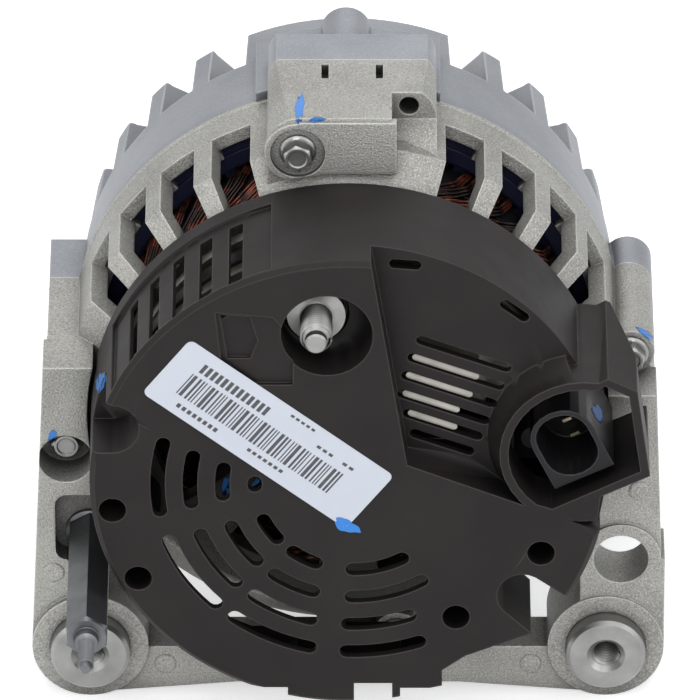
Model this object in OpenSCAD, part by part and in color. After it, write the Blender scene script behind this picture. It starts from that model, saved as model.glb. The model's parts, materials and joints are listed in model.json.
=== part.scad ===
// Engine alternator with internal fans, a claw-pole rotor and a plastic rear cover.
// Each piece is drawn about the shaft axis, as seen from the rear: X to the right, Y up
// and Z to the rear, with Z = 0 on the rear faces of the mounting ears.
// stand() turns the whole alternator level and sets it down on its four ears.

/* [Mounting ears] */
// Distance between the two lower ear centres
ear_span = 129.6; // [126:0.2:132]
// Height of the shaft above the ear centres
ear_drop = 66.6; // [65:0.1:68]
// Outer radius of each ear
ear_r = 14.6; // [13.5:0.1:15.2]
// Length of a rear ear along the shaft
rear_ear_len = 20; // [19.5:0.5:24]
// Clear distance between a rear ear and a front ear
ear_gap = 58; // [54:1:62]
// Length of a front ear along the shaft
front_ear_len = 14; // [12:1:16]
// Radius of the plain hole in a front ear
front_ear_hole_r = 4.25; // [4:0.05:5]
// Radius of a clamping bush
bush_r = 9.95; // [9:0.05:10.5]
// Radial running clearance of a bush in its ear
bush_fit = 0.05; // [0.02:0.01:0.1]
// Length of a clamping bush
bush_len = 24; // [22:0.5:28]
// How far a bush stands out of the ear at rest
bush_proud = 4.8; // [3:0.1:6]
// Radius of the tapped hole in a bush
bush_hole_r = 3.4; // [3:0.1:4.2]
// Thickness of the side legs and the bottom strip
leg_t = 14; // [13:0.5:18]
// How far the legs lie below the ear faces
leg_step = 1.5; // [0.5:0.1:3]
// Radius of the plain side hole
side_hole_r = 6.9; // [6:0.1:7.4]
// Wall round the plain side hole
side_hole_wall = 3.2; // [2.5:0.1:4]

/* [Brackets] */
// Outer radius of both brackets at the seam
wall_r = 68.7; // [68:0.1:70]
// Wall thickness of the rear bracket
wall_t = 4.5; // [3.5:0.1:5]
// Depth of the seam below the ear faces
seam_depth = 45.6; // [44:0.1:48]
// Depth of the rear bracket's end face below the ear faces
end_depth = 10; // [9.5:0.1:10.5]
// Thickness of the end walls
end_t = 5; // [4:0.1:5.5]
// Chamfer between the rear bracket's wall and its end face
rear_chamfer = 7; // [5:0.1:7.5]
// Angle from one window post to the next
post_pitch = 13.2; // [12.8:0.1:13.6]
// Angle that one window post takes
post_angle = 4.3; // [3.5:0.1:5.5]
// Angle from the top to the first post of the rear bracket
rear_post_start = 31.7; // [30.5:0.1:32.5]
// Angle from the top to the first post of the front bracket
front_post_start = 33.6; // [32:0.1:34.5]
// Windows on each side of the top block
top_windows = 4; // [3:1:4]
// Length of the front bracket from the seam to its shoulder
front_len = 43; // [41:0.1:44.5]
// Radius that the front bracket loses from the seam to its shoulder
front_draft = 3; // [2:0.1:3.2]
// Rounding of the front shoulder
shoulder_r = 2.5; // [1.5:0.5:4]
// How far the front face rises from its shoulder to its hub
front_rise = 10; // [9:0.5:12]

/* [Through bolts] */
// Radius of the circle through the four bolts
bolt_circle_r = 71.5; // [71:0.1:72.5]
// Angle of the first bolt above the right-hand side
bolt_start = 10; // [8:0.5:12]
// Radius of a bolt shank
bolt_r = 2.5; // [2:0.1:2.8]
// Width across the flats of a bolt head
bolt_flats = 6.5; // [6:0.1:8]
// Depth of the bolt heads below the ear faces
bolt_seat = 12; // [11:0.5:13]
// Length that a bolt reaches into the front bracket
bolt_reach = 14; // [10:0.5:15]
// Radius of a bolt lug
lug_r = 6; // [5.5:0.1:6.5]

/* [Rear cover] */
// Outer radius of the cover at its rim
cover_r = 64; // [63:0.1:64.3]
// Wall thickness of the cover
cover_t = 2.2; // [1.6:0.1:2.6]
// Height of the cover's rear face above the ear faces
cover_face = 31.3; // [30.5:0.1:33]
// Chamfer between the cover's wall and its rear face
cover_chamfer = 1.2; // [0.8:0.1:1.6]
// Depth of the rim below the ear faces
cover_rim = 7; // [6:0.1:7.5]
// Depth of the terrace below the rear face
terrace_depth = 8.7; // [7.5:0.1:9.5]
// Mean radius of the outer ring of air slots
slot_ring_r = 48.4; // [47.5:0.1:49]
// Distance from one ring of air slots to the next
slot_ring_step = 8; // [7.5:0.05:8.2]
// Width of an air slot
slot_w = 3.6; // [2.5:0.1:4]
// Rows of slots in the terrace
terrace_slots = 6; // [4:1:6]
// Distance from one terrace slot to the next
terrace_slot_step = 4.76; // [4.4:0.02:5]
// Louvres in the side wall
louvres = 5; // [3:1:5]
// Radius of the access holes over the cover screws
access_r = 3.4; // [3.3:0.05:3.8]

/* [Output stud] */
// Thread radius of the output stud
stud_r = 4; // [3:0.1:4.2]
// Flange radius of the output stud
stud_flange_r = 7.4; // [6.5:0.1:7.8]
// Length of the stud above its flange
stud_len = 14; // [12:0.5:20]
// Height of the flange face above the ear faces
stud_seat = 22; // [21:0.1:23]

/* [Spacer stud] */
// Width across the flats of the spacer stud
spacer_flats = 10; // [8:0.5:11]
// Length of the hexagon
spacer_len = 51; // [40:1:56]
// Length of the pin on its end
spacer_pin_len = 14.8; // [10:0.2:18]
// Radius of the pin
spacer_pin_r = 2; // [1.5:0.1:3]

/* [Stator] */
// Outer radius of the laminated core
core_r = 64.4; // [64:0.1:64.6]
// Length of the core
core_len = 30; // [26:0.5:31]
// Length of the core that lies in the rear bracket
core_lap = 7.6; // [6.5:0.1:8.5]
// Bore radius of the core
core_bore_r = 50.4; // [49.5:0.1:50.6]
// Slots in the core
core_slots = 36; // [30:6:42]
// Depth of a core slot
slot_depth = 7; // [6:0.1:7.2]
// How far the end turns stand out of the core
turn_len = 17; // [13:0.5:17.5]

/* [Rotor] */
// Air gap between the rotor and the core
air_gap = 0.4; // [0.3:0.05:0.8]
// Claws on each pole
claws = 6; // [6:1:7]
// Thickness of a pole's disc
pole_disc_t = 12; // [10:0.5:12.5]
// Distance between the two pole discs
pole_gap = 23.6; // [21:0.2:24]
// Thickness of a claw at its tip
claw_tip_t = 6; // [5:0.2:7]
// Radius of the pole cores under the coil
pole_core_r = 27; // [24:0.5:29]
// Radius of the shaft in the poles
shaft_r = 10; // [9:0.1:10.2]
// Blades on each fan
fan_blades = 11; // [9:1:13]
// Thickness of a fan blade
blade_t = 1.2; // [1:0.1:1.6]

/* [Bearings] */
// Outer radius of the front bearing
front_bearing_r = 23.5; // [23:0.5:24]
// Bore radius of the front bearing
front_journal_r = 8.5; // [8:0.1:8.7]
// Width of the front bearing
front_bearing_w = 14; // [13:0.5:15]
// Outer radius of the rear bearing
rear_bearing_r = 17.5; // [17:0.5:18]
// Bore radius of the rear bearing
rear_journal_r = 7.5; // [7:0.1:7.7]
// Width of the rear bearing
rear_bearing_w = 11; // [10:0.5:11.5]
// Balls in each bearing
balls = 8; // [6:1:8]

/* [Pulley] */
// Radius over the ribs of the pulley
pulley_r = 27; // [25:0.5:32]
// Length of the pulley
pulley_len = 24; // [22:0.5:30]
// Grooves in the pulley
grooves = 6; // [4:1:6]
// Distance from one groove to the next
groove_pitch = 3.56; // [3.3:0.02:3.6]
// Width across the flats of the pulley nut
nut_flats = 24; // [22:0.5:26]
// Height of the pulley nut
nut_h = 11; // [9:0.5:12]

/* [Brush gear] */
// Outer radius of the slip rings
ring_r = 9; // [8.6:0.1:9.4]
// Length of a slip ring
ring_len = 6.5; // [6:0.1:7]
// Gap between the two slip rings
ring_gap = 2; // [1.5:0.1:2.5]
// Width of a brush across the shaft
brush_w = 6.4; // [5:0.1:7]
// Thickness of a brush along the shaft
brush_t = 4.8; // [4:0.1:5.4]
// Length of a brush
brush_len = 14; // [12:0.5:15]
// Clearance round a brush in its box, and to its slip ring
brush_fit = 0.06; // [0.03:0.01:0.1]

/* [Rectifier and regulator] */
// Radius of a pressed diode
diode_r = 6.4; // [6:0.1:6.6]
// Angles of the diodes above the right-hand side
diode_angles = [48, 90, 135];
// Radius of the circle through the diodes
diode_circle_r = 40; // [39:0.2:42]
// Thickness of a heat sink plate
sink_t = 4; // [3:0.2:4.4]
// Tilt of the connector socket
socket_tilt = 26; // [20:1:28]
// Inner width of the connector socket
socket_w = 13.4; // [12:0.1:13.6]
// Inner height of the connector socket
socket_h = 17.4; // [16:0.1:17.6]
// Wall of the connector socket
socket_wall = 1.4; // [1.2:0.1:1.8]
// Depth of the connector socket
socket_depth = 18; // [14:0.5:20]

/* [Hidden] */
$fn = 72;

// Places along the shaft, all measured from the ear faces
seam_z = -seam_depth;
seam_lip = 0.35;
end_z = -end_depth;
end_in_z = end_z - end_t;
shoulder_z = seam_z - front_len;
shoulder_in_z = shoulder_z + end_t - 0.5;
hub_face_z = shoulder_z - front_rise;
hub_r = 28.5 + front_bearing_r - 23.5;
hub_foot_r = hub_r + 3.5;
rear_stop_r = core_r - 2;
front_in_r = core_r - 4.6;
knee_r = 50;
knee_z = shoulder_z - 0.8 * front_rise;
core_rear_z = seam_z + core_lap;
core_front_z = core_rear_z - core_len;
core_mid_z = (core_rear_z + core_front_z) / 2;
turn_r = core_bore_r + slot_depth + 1;
pole_rear_z = core_mid_z + pole_gap / 2 + pole_disc_t;
pole_front_z = core_mid_z - pole_gap / 2 - pole_disc_t;
rotor_r = core_bore_r - air_gap;
claw_pitch = 2 * PI * rotor_r / claws;
claw_base_half = 0.278 * claw_pitch;
claw_tip_half = 0.1245 * claw_pitch;

// Rear bearing in its hub, front bearing in its hub
lip_t = 1.5;
rear_hub_top = end_z + 8;
rear_hub_r = rear_bearing_r + 4;
rear_bearing_top = rear_hub_top - lip_t;
rear_bearing_bottom = rear_bearing_top - rear_bearing_w;
front_bearing_top = hub_face_z + 6;
front_bearing_bottom = front_bearing_top - front_bearing_w;
front_hub_bottom = front_bearing_bottom - lip_t - 1;
retainer_t = 2;
retainer_r = hub_r + 2.5;

// Fans
fan_plate_t = 1.2;
fan_r = 46;
fan_hub_r = 14;
blade_in_r = 28;
rear_blade_top = end_in_z - 3.2;
front_blade_bottom = front_in_z(fan_r) + 2.2;
function front_in_z(r) = shoulder_in_z
    + (front_bearing_top - shoulder_in_z) * (front_in_r - r) / (front_in_r - hub_foot_r);

// Pulley end of the shaft
pulley_spacer_len = 4;
pulley_top = front_bearing_bottom - pulley_spacer_len;
pulley_bottom = pulley_top - pulley_len;
pulley_recess = 4;
nut_top = pulley_bottom + pulley_recess;
thread_r = front_journal_r - 0.5;
shaft_front = nut_top - nut_h - 2;

// Slip ring end of the shaft
tail_r = 5.5;
carrier_r = 7.4;
ring_z = [rear_hub_top + 4, rear_hub_top + 4 + ring_len + ring_gap];
shaft_rear = ring_z[1] + ring_len + 3;
brush_z = [for (z = ring_z) z + ring_len / 2];
brush_face = ring_r + brush_fit;
brush_back = brush_face + brush_len;
holder_front = ring_r + 2;
spring_len = 10;
holder_back = brush_back + spring_len + 2;
holder_half = brush_w / 2 + 2.6;
holder_top = brush_z[1] + brush_t / 2 + 2.2;
holder_bottom = brush_z[0] - brush_t / 2 - 1.4;

// Air inlets of the rear bracket: two angles and an outer radius each
air_inlets = [[8.5, 36.5, 51], [53.5, 81.5, 51], [98.5, 126.5, 51], [143.5, 171.5, 51],
    [188.5, 216.5, 51], [233.5, 261.5, 51], [278.5, 298.5, 51], [323.5, 351.5, 45]];

// Ears and the bolts
ear_x = ear_span / 2;
ear_places = [[-ear_x, -ear_drop], [ear_x, -ear_drop]];
ear_bore_r = bush_r + bush_fit;
leg_top_z = -leg_step;
leg_bottom_z = leg_top_z - leg_t;
leg_in_r = cover_r + 1;
window_out_r = wall_r + 12;
lower_window_top = leg_bottom_z - 2.5;
side_hole = [68.4, -41.4];
left_leg_top = 14;
right_leg_top = 6;
front_ear_top = -rear_ear_len - ear_gap;
front_ear_bottom = front_ear_top - front_ear_len;
bolt_angles = [for (k = [0:3]) bolt_start + 90 * k];
lug_front_z = seam_z - bolt_reach + 1;
spacer_place = [-64.7, -37];
pocket_floor = -8;

// Top block of the rear bracket and of the front bracket
block = [-20, 22];
block_foot_y = 58;
block_rear_top = 79.5;
block_seam_top = 77;
block_corner = 8;
block_arc_r = 71.3;

// Rear cover
cover_in = cover_face - cover_t;
terrace_z = cover_face - terrace_depth;
cover_taper = 0.2;
stud_place = [-7.8, 43.3];
well_place = [-5.2, 43];
well_r = 11.3;
well_z = stud_seat - 1.5;
hood_mid = [58, 9];
hood_r = 18.5;
hood_low = 1.6;
hood_rim = -6.5;
dish_place = [-58.2, 16.2];
dish_r = 6.8;
dish_z = 15;
screw_places = [[-58.2, -7.2], [-52, -27], [26.8, -38.4], [47.8, -19.7]];
pillar_r = access_r + 1.8;
pillar_floor = 4;
slot_mid = [1.4, 0];
slot_sectors = [[[165.6, 188.7], [199.5, 225], [232.4, 257], [267.9, 289.7]],
    [[168.1, 187.1], [200.7, 223.7], [232.6, 254.7], [268, 290.1]],
    [[171.3, 184.9], [201.6, 222.1], [232.9, 251.9], [269.1, 301.2]],
    [[177.9, 180.3], [204.3, 219.1], [232.2, 247.5], [269.4, 299.5]]];
fin_slot_x = [28.5, 26.6, 24.9, 23.6, 23.4, 23.2];
fin_slot_len = [25, 25.5, 25.2, 24.2, 21, 17];
fin_len = [0, 17.5, 17.5, 15, 13];

// Rectifier and regulator
sink_in_r = 27;
sink_out_r = 55;
sink_from = 24;
sink_to = 158;
negative_z = end_z;
carrier_z = negative_z + sink_t + 6;
carrier_t = 5;
positive_z = carrier_z + carrier_t;
fin_top = terrace_z - 0.8;
positive_angles = [for (a = diode_angles) a - 20];
rectifier_screw_angles = [45, 86, 135];
rectifier_screw_r = 50;
regulator_bottom = end_z;
regulator_top = 1;
regulator_screw_places = [[46, -3.4], [57, -6]];
socket_place = [54, 9.6];
socket_top = 28;

// Overall reach along the shaft, and the height of the shaft above the ground
spacer_base = pocket_floor;
rear_reach = spacer_base + spacer_len + spacer_pin_len;
front_reach = shaft_front;
stand_h = ear_drop + ear_r;

aluminium = [0.72, 0.73, 0.72];
grey_aluminium = [0.64, 0.66, 0.69];
dark_plastic = [0.17, 0.155, 0.15];
steel = [0.62, 0.62, 0.61];
copper = [0.55, 0.24, 0.16];

// Shared shapes
module stand()
    translate([0, (rear_reach + front_reach) / 2, stand_h]) rotate([90, 0, 0]) children();

module span(low, high) translate([0, 0, low]) linear_extrude(high - low) children();

module side_span(left, right)
    translate([left, 0, 0]) rotate([90, 0, 90]) linear_extrude(right - left) children();

module rod(low, high, r) translate([0, 0, low]) cylinder(h = high - low, r = r);

module pipe(low, high, outer, inner)
    difference() {
        rod(low, high, outer);
        rod(low - 1, high + 1, inner);
    }

module at(place) translate([place[0], place[1], 0]) children();

module on_circle(r, angles) for (a = angles) at(r * [cos(a), sin(a)]) children();

module sector(r, from, to)
    polygon(concat([[0, 0]], [for (k = [0:4]) let (a = from + (to - from) * k / 4)
        1.1 * r * [cos(a), sin(a)]]));

module ring_sector(outer, inner, from, to)
    intersection() {
        difference() {
            circle(outer);
            circle(inner);
        }
        sector(outer, from, to);
    }

function arc(mid, r, from, to, steps) = [for (k = [0:steps])
    let (a = from + (to - from) * k / steps) mid + r * [cos(a), sin(a)]];

function arc_inside(mid, r, from, to, steps) = [for (k = [1:steps - 1])
    let (a = from + (to - from) * k / steps) mid + r * [cos(a), sin(a)]];

module arc_slot(r, w, from, to)
    polygon(concat(arc([0, 0], r + w / 2, from, to, 8),
        arc_inside(r * [cos(to), sin(to)], w / 2, to, to + 180, 6),
        arc([0, 0], r - w / 2, to, from, 8),
        arc_inside(r * [cos(from), sin(from)], w / 2, from + 180, from + 360, 6)));

module straight_slot(length, w)
    polygon(concat(arc([(length - w) / 2, 0], w / 2, -90, 90, 6),
        arc([-(length - w) / 2, 0], w / 2, 90, 270, 6)));

module round_box(w, h, r)
    polygon(concat(arc([w / 2 - r, h / 2 - r], r, 0, 90, 5),
        arc([-w / 2 + r, h / 2 - r], r, 90, 180, 5),
        arc([-w / 2 + r, -h / 2 + r], r, 180, 270, 5),
        arc([w / 2 - r, -h / 2 + r], r, 270, 360, 5)));

module hexagon(flats) circle(r = flats / sqrt(3), $fn = 6);

// Rear bracket
module rear_drum()
    rotate_extrude() polygon([
        [0, seam_z], [wall_r + seam_lip, seam_z], [wall_r + seam_lip, seam_z + 0.7],
        [wall_r, seam_z + 1.1], [wall_r, end_z - rear_chamfer],
        [wall_r - rear_chamfer, end_z], [rear_hub_r, end_z], [rear_hub_r, rear_hub_top],
        [0, rear_hub_top]]);

module rear_void()
    rotate_extrude() polygon([
        [0, seam_z - 1], [core_r, seam_z - 1], [core_r, core_rear_z],
        [rear_stop_r, core_rear_z], [rear_stop_r, core_rear_z + 2.5],
        [wall_r - wall_t, core_rear_z + 2.5], [wall_r - wall_t, end_in_z - rear_chamfer + 1],
        [wall_r - wall_t - rear_chamfer + 1, end_in_z], [rear_hub_r, end_in_z],
        [rear_hub_r, rear_bearing_bottom - 2], [rear_bearing_r, rear_bearing_bottom - 2],
        [rear_bearing_r, rear_bearing_top], [rear_journal_r + 3.2, rear_bearing_top],
        [rear_journal_r + 3.2, rear_hub_top + 1], [0, rear_hub_top + 1]]);

module leg_outline()
    difference() {
        union() {
            for (place = ear_places) at(place) circle(ear_r);
            polygon([[-ear_x - ear_r, -ear_drop], [-ear_x - ear_r + 3.5, left_leg_top],
                [-ear_x + 4, left_leg_top], [-ear_x + 4, -ear_drop]]);
            polygon([[ear_x + ear_r, -ear_drop], [ear_x + ear_r - 2.5, right_leg_top],
                [ear_x - 6, right_leg_top], [ear_x - 6, -ear_drop]]);
            polygon([[-ear_x, -ear_drop - ear_r], [-28, -ear_drop - ear_r + 3],
                [28, -ear_drop - ear_r + 3], [ear_x, -ear_drop - ear_r],
                [ear_x, -wall_r + 1], [-ear_x, -wall_r + 1]]);
        }
        circle(leg_in_r);
        for (side = [-1, 1]) difference() {
            polygon([[side * 51, -wall_r + 1.2], [side * 27, -wall_r + 1.2],
                [side * 44, -53]]);
            circle(wall_r + 1.6);
            at([side * ear_x, -ear_drop]) circle(ear_r + 1.8);
        }
    }

module top_block_outline()
    polygon(concat([[block[0], block_foot_y], [block[1], block_foot_y]],
        arc([block[1] - block_corner, block_rear_top - block_corner], block_corner, 0, 90, 8),
        arc([block[0] + block_corner, block_rear_top - block_corner], block_corner, 90, 180, 8)));

module rear_block()
    difference() {
        intersection() {
            span(seam_z, -bolt_seat) top_block_outline();
            side_span(block[0] - 1, block[1] + 1)
                polygon([[0, -bolt_seat], [block_rear_top, -bolt_seat],
                    [block_seam_top, seam_z], [0, seam_z]]);
        }
        // Stepped corner with a small lug hole, and two narrow slots near the seam
        side_span(10.8, 40) polygon([[90, -27], [70.8, -27], [60, -bolt_seat + 0.5],
            [60, 1], [90, 1]]);
        translate([15.1, 74.6, -35]) cylinder(h = 20, r = 2.5);
        for (x = [-5.7, 7.8]) translate([x - 0.9, 74, -43]) cube([1.8, 10, 8]);
    }

module window_cuts(start, count, low, high, inner, outer)
    for (side = [-1, 1], k = [0:count - 1])
        let (a = 90 + side * (start + post_pitch * k), half = (post_pitch - post_angle) / 2)
            span(low, high) ring_sector(outer, inner, a - half, a + half);

module rear_bracket()
    color(aluminium) difference() {
        union() {
            rear_drum();
            span(leg_bottom_z, leg_top_z) leg_outline();
            for (place = ear_places) at(place) rod(-rear_ear_len, 0, ear_r);
            // Raised pad that joins the side hole to its ear
            span(leg_bottom_z, -0.7) {
                at(side_hole) circle(side_hole_r + side_hole_wall);
                difference() {
                    translate([side_hole[0] - side_hole_r - side_hole_wall, -ear_drop])
                        square([side_hole_r + side_hole_wall + ear_x + ear_r - side_hole[0],
                            ear_drop + side_hole[1]]);
                    circle(leg_in_r);
                }
            }
            rear_block();
            // Pad under the top bolt head
            span(-bolt_seat - 1, -bolt_seat + 1.4) difference() {
                union() {
                    on_circle(bolt_circle_r, [bolt_angles[1]]) circle(8.2);
                    translate([-12, 64.5]) square([24, 14.4]);
                }
                circle(64.6);
            }
            // Bolt lugs, a block on the left and a round rib on the right
            on_circle(bolt_circle_r, bolt_angles) rod(seam_z, -bolt_seat, lug_r);
            translate([-75, -8, seam_z]) cube([10, left_leg_top + 8, seam_depth - leg_step - 1]);
            translate([ear_x + ear_r - 10, -2, seam_z]) cylinder(h = 23, r = 7.5);
        }
        rear_void();
        window_cuts(rear_post_start - post_pitch / 2, top_windows, core_rear_z + 2.5,
            end_z + 1, sink_out_r + 2, window_out_r);
        // Inner step of each window, which bares the edge of the core
        window_cuts(rear_post_start - post_pitch / 2, top_windows, core_rear_z,
            core_rear_z + 3, sink_out_r + 2, core_r + 0.8);
        // Lower windows, behind the legs
        window_cuts(180 - 1.5 * post_pitch, 2, core_rear_z + 2.5, lower_window_top, 55,
            window_out_r);
        window_cuts(110, 2, core_rear_z + 2.5, lower_window_top, 55, window_out_r);
        // Air inlets in the end face
        span(end_in_z - 1, end_z + 1) for (inlet = air_inlets)
            ring_sector(inlet[2], rear_hub_r + 3.5, inlet[0], inlet[1]);
        // Bores of the ears, the side hole and the bolts
        for (place = ear_places) at(place) rod(-rear_ear_len - 1, 1, ear_bore_r);
        at(side_hole) rod(leg_bottom_z - 1, 1, side_hole_r);
        on_circle(bolt_circle_r, bolt_angles) {
            rod(seam_z - 1, 1, bolt_r + 0.25);
            rod(-bolt_seat, 1, lug_r + 0.8);
        }
        // Pocket beside the spacer stud, and the stud's hole
        span(pocket_floor, 1) translate([-67.5, -32.5]) round_box(11.5, 19, 3);
        at(spacer_place) rod(pocket_floor, 1, spacer_flats / 2 + 2.6);
        at(spacer_place) rod(pocket_floor - 6.5, 1, 2.5);
        // Holes for the cover, rectifier and regulator screws
        for (place = screw_places) at(place) rod(end_in_z - 1, end_z + 1, 1.8);
        for (place = regulator_screw_places) at(place) rod(end_in_z - 1, end_z + 1, 1.7);
        on_circle(rectifier_screw_r, rectifier_screw_angles)
            rod(end_in_z - 1, end_z + 1, 1.8);
    }

// Front bracket
shoulder_arc = [for (a = [0:-15:-90]) [wall_r - front_draft - shoulder_r + shoulder_r * cos(a),
    shoulder_z + shoulder_r + shoulder_r * sin(a)]];

module front_drum()
    rotate_extrude() polygon(concat(
        [[0, seam_z], [wall_r, seam_z], [wall_r, seam_z - 3]],
        shoulder_arc,
        [[knee_r, knee_z], [hub_foot_r, hub_face_z], [hub_r, hub_face_z - 3], [hub_r, front_hub_bottom],
            [0, front_hub_bottom]]));

module front_void()
    rotate_extrude() polygon([
        [0, seam_z + 1], [core_r, seam_z + 1], [core_r, core_front_z],
        [front_in_r, core_front_z], [front_in_r, shoulder_in_z],
        [knee_r - 2, knee_z + end_t],
        [hub_foot_r, front_bearing_top], [front_bearing_r, front_bearing_top],
        [front_bearing_r, front_bearing_bottom], [front_journal_r + 4.2, front_bearing_bottom],
        [front_journal_r + 4.2, front_hub_bottom - 1], [0, front_hub_bottom - 1]]);

module front_ear_web(side) {
    out = [side * ear_x, -ear_drop] / norm([ear_x, ear_drop]);
    across = [-out[1], out[0]];
    far = norm([ear_x, ear_drop]);
    polygon([out * far + across * ear_r * 0.96, out * far - across * ear_r * 0.96,
        out * 50 - across * 26, out * 50 + across * 26]);
}

module front_bracket()
    color(grey_aluminium) difference() {
        union() {
            front_drum();
            // Ears with their webs
            for (side = [-1, 1]) {
                at([side * ear_x, -ear_drop]) rod(front_ear_bottom, front_ear_top, ear_r);
                span(shoulder_z + 1, front_ear_top) front_ear_web(side);
            }
            // Bolt lugs, and the block on the left that carries on from the rear bracket
            on_circle(bolt_circle_r, bolt_angles) rod(lug_front_z, seam_z, lug_r);
            translate([-75, -8, seam_z - 19]) cube([10, left_leg_top + 8, 19]);
            // Top block in two steps, and its round boss
            span(lug_front_z, seam_z) intersection() {
                top_block_outline();
                translate([-40, 0]) square([80, block_seam_top]);
            }
            span(seam_z - 27, seam_z) intersection() {
                circle(block_arc_r);
                translate([block[0] - 3, block_foot_y - 3]) square([block[1] - block[0] + 4, 20]);
            }
            translate([-0.5, 70.6, seam_z - 27]) cylinder(h = 22, r = 6.2);
        }
        front_void();
        window_cuts(front_post_start - post_pitch / 2, 7, front_hub_bottom - 1,
            core_front_z - 1.6, hub_foot_r + 4, window_out_r);
        window_cuts(180 - 1.5 * post_pitch, 2, front_hub_bottom - 1, core_front_z - 1.6,
            hub_foot_r + 4, window_out_r);
        for (place = ear_places) at(place)
            rod(front_ear_bottom - 1, front_ear_top + 1, front_ear_hole_r);
        on_circle(bolt_circle_r, bolt_angles) rod(seam_z - bolt_reach - 0.5, seam_z + 1, bolt_r);
        // Tapped holes for the retainer screws
        on_circle(retainer_r - 3, [45:90:360])
            rod(hub_face_z - 1, front_bearing_top + 1, 1.6);
    }

// Rear cover
module terrace_outline(grow)
    polygon([[5.6 - grow, 80], [5.6 - grow, 63.5], [14.6 - grow, 5.8 - 1.4 * grow],
        [62.4, -13.4 - 1.2 * grow], [90, -24], [90, 80]]);

module hood_outline(grow)
    polygon(concat(arc(hood_mid, hood_r + grow, 80, 232, 14), [
        [50.4 - 0.2 * grow, -6.9 - 1.1 * grow],
        [72.1 + 1.09 * grow, 3.96 - 0.573 * grow],
        [69.1 + 0.92 * grow, 25.5 + 0.68 * grow],
        [63 + 0.4 * grow, 28.6 + 0.95 * grow]]));

module cover_edge_cuts(grow) {
    translate(grow * [-0.6, 0.8]) polygon([[56, -30], [51, -36.3], [45.8, -43],
        [29.1, -49.8], [23.4, -54], [23.4, -80], [80, -80], [80, -30]]);
    // Notch for a tool, open to the diagonal edge
    polygon(concat(arc([43.2, -32.2], 6.3 + grow, 60, 222, 10), [
        [50 - 0.7 * grow, -47.4 - 0.7 * grow], [64, -60],
        [62 + 0.6 * grow, -37.8 + 0.8 * grow]]));
    translate([1.5 - grow, -80]) square([9.5 + 2 * grow, 22.2 + grow]);
    translate([13 - grow, -80]) square([20 + 2 * grow, 20.8 + grow]);
    translate([-24 - grow, -80]) square([9 + 2 * grow, 21 + grow]);
}

module cover_profile(grow, low) {
    edge = max(0.3, cover_chamfer + 0.5 * grow);
    top_r = cover_r - cover_taper + grow;
    rotate_extrude() polygon([[0, cover_face + grow], [top_r - edge, cover_face + grow],
        [top_r, cover_face + grow - edge], [cover_r + grow, low], [0, low]]);
}

module cover_solid(grow, low)
    difference() {
        cover_profile(grow, low);
        // Terrace, stud well, the dish at the left edge and the cuts in the bottom edge
        span(terrace_z + grow, cover_face + 1) terrace_outline(-grow);
        at(well_place) rod(well_z + grow, cover_face + 1, well_r - grow);
        span(dish_z + grow, cover_face + 1) at(dish_place)
            polygon(concat(arc([0, 0], dish_r - grow, -90, 90, 12),
                [[-20, dish_r - grow], [-20, -dish_r + grow]]));
        span(low - 1, cover_face + 1) cover_edge_cuts(-grow);
    }

module cover_slots() {
    // Rings of air slots round the shaft
    span(cover_in - 1, cover_face + 1) at(slot_mid)
        for (row = [0:3], ends = slot_sectors[row])
            arc_slot(slot_ring_r - row * slot_ring_step, slot_w, ends[0], ends[1]);
    // Sloping slots in the terrace, over the fins
    span(terrace_z - cover_t - 1, terrace_z + 1) {
        terrace_slot_rows() straight_slot(fin_slot_len[$row], 2.5);
        translate([14, 58.2]) rotate(-5) straight_slot(8, 2.6);
        translate([40.9, 45]) rotate(-38) straight_slot(8.6, 2.6);
    }
    // Louvres in a shallow field of the side wall
    for (k = [0:louvres - 1]) rotate(90 + 26 + 7.8 * k)
        translate([cover_r - 8, -1.9, 0.8]) cube([12, 3.8, 29]);
    span(-2, 29.4) ring_sector(cover_r + 3, cover_r - 1.1, 107.2, 156);
}

module terrace_slot_rows()
    for ($row = [0:terrace_slots - 1])
        translate([fin_slot_x[$row], 32.6 - terrace_slot_step / cos(20.5) * $row])
            rotate(-20.5) children();

module rear_cover()
    color(dark_plastic) difference() {
        union() {
            difference() {
                cover_solid(0, -cover_rim);
                cover_solid(-cover_t, -cover_rim - 1);
            }
            // Hood round the connector socket
            span(terrace_z - cover_t - 3, cover_face) hood_outline(cover_t);
            span(hood_low, terrace_z) difference() {
                hood_outline(cover_t);
                circle(cover_r - 1);
            }
            // Its upper wall runs on down to the rim
            span(hood_rim, hood_low + 1) difference() {
                intersection() {
                    hood_outline(cover_t);
                    translate([40, 8.5]) square([60, 40]);
                }
                circle(cover_r - 1);
                hood_outline(0);
            }
            // Sloping collar on the terrace side
            intersection() {
                at(hood_mid) translate([0, 0, terrace_z - 1])
                    cylinder(h = cover_face - terrace_z + 1, r1 = hood_r + cover_t + 3.4,
                        r2 = hood_r + 0.9);
                span(terrace_z - 1, cover_face) terrace_outline(0.4);
                rod(terrace_z - 1, cover_face, cover_r - 1.6);
            }
            // Pillars round the cover screws
            intersection() {
                for (place = screw_places) at(place) rod(end_z, cover_in + 0.5, pillar_r);
                cover_profile(-0.5, end_z - 1);
            }
        }
        span(regulator_top - 0.6, cover_face + 1) hood_outline(0);
        // Slanted edge of the hood, clear of the bolt beside it
        translate([0, 40, 0]) rotate([90, 0, 0]) linear_extrude(35)
            polygon([[64.6, hood_rim - 1.5], [72, 17.5], [90, 17.5], [90, hood_rim - 1.5]]);
        cover_slots();
        at(stud_place) rod(0, well_z + 1, stud_flange_r + 0.8);
        for (place = screw_places) at(place) {
            rod(pillar_floor, cover_face + 1, access_r);
            rod(end_z - 1, cover_face, 2.1);
        }
        // Open bottom of the wall
        span(-cover_rim - 2, 6) ring_sector(cover_r + 3, 54, 222, 318);
    }

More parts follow.
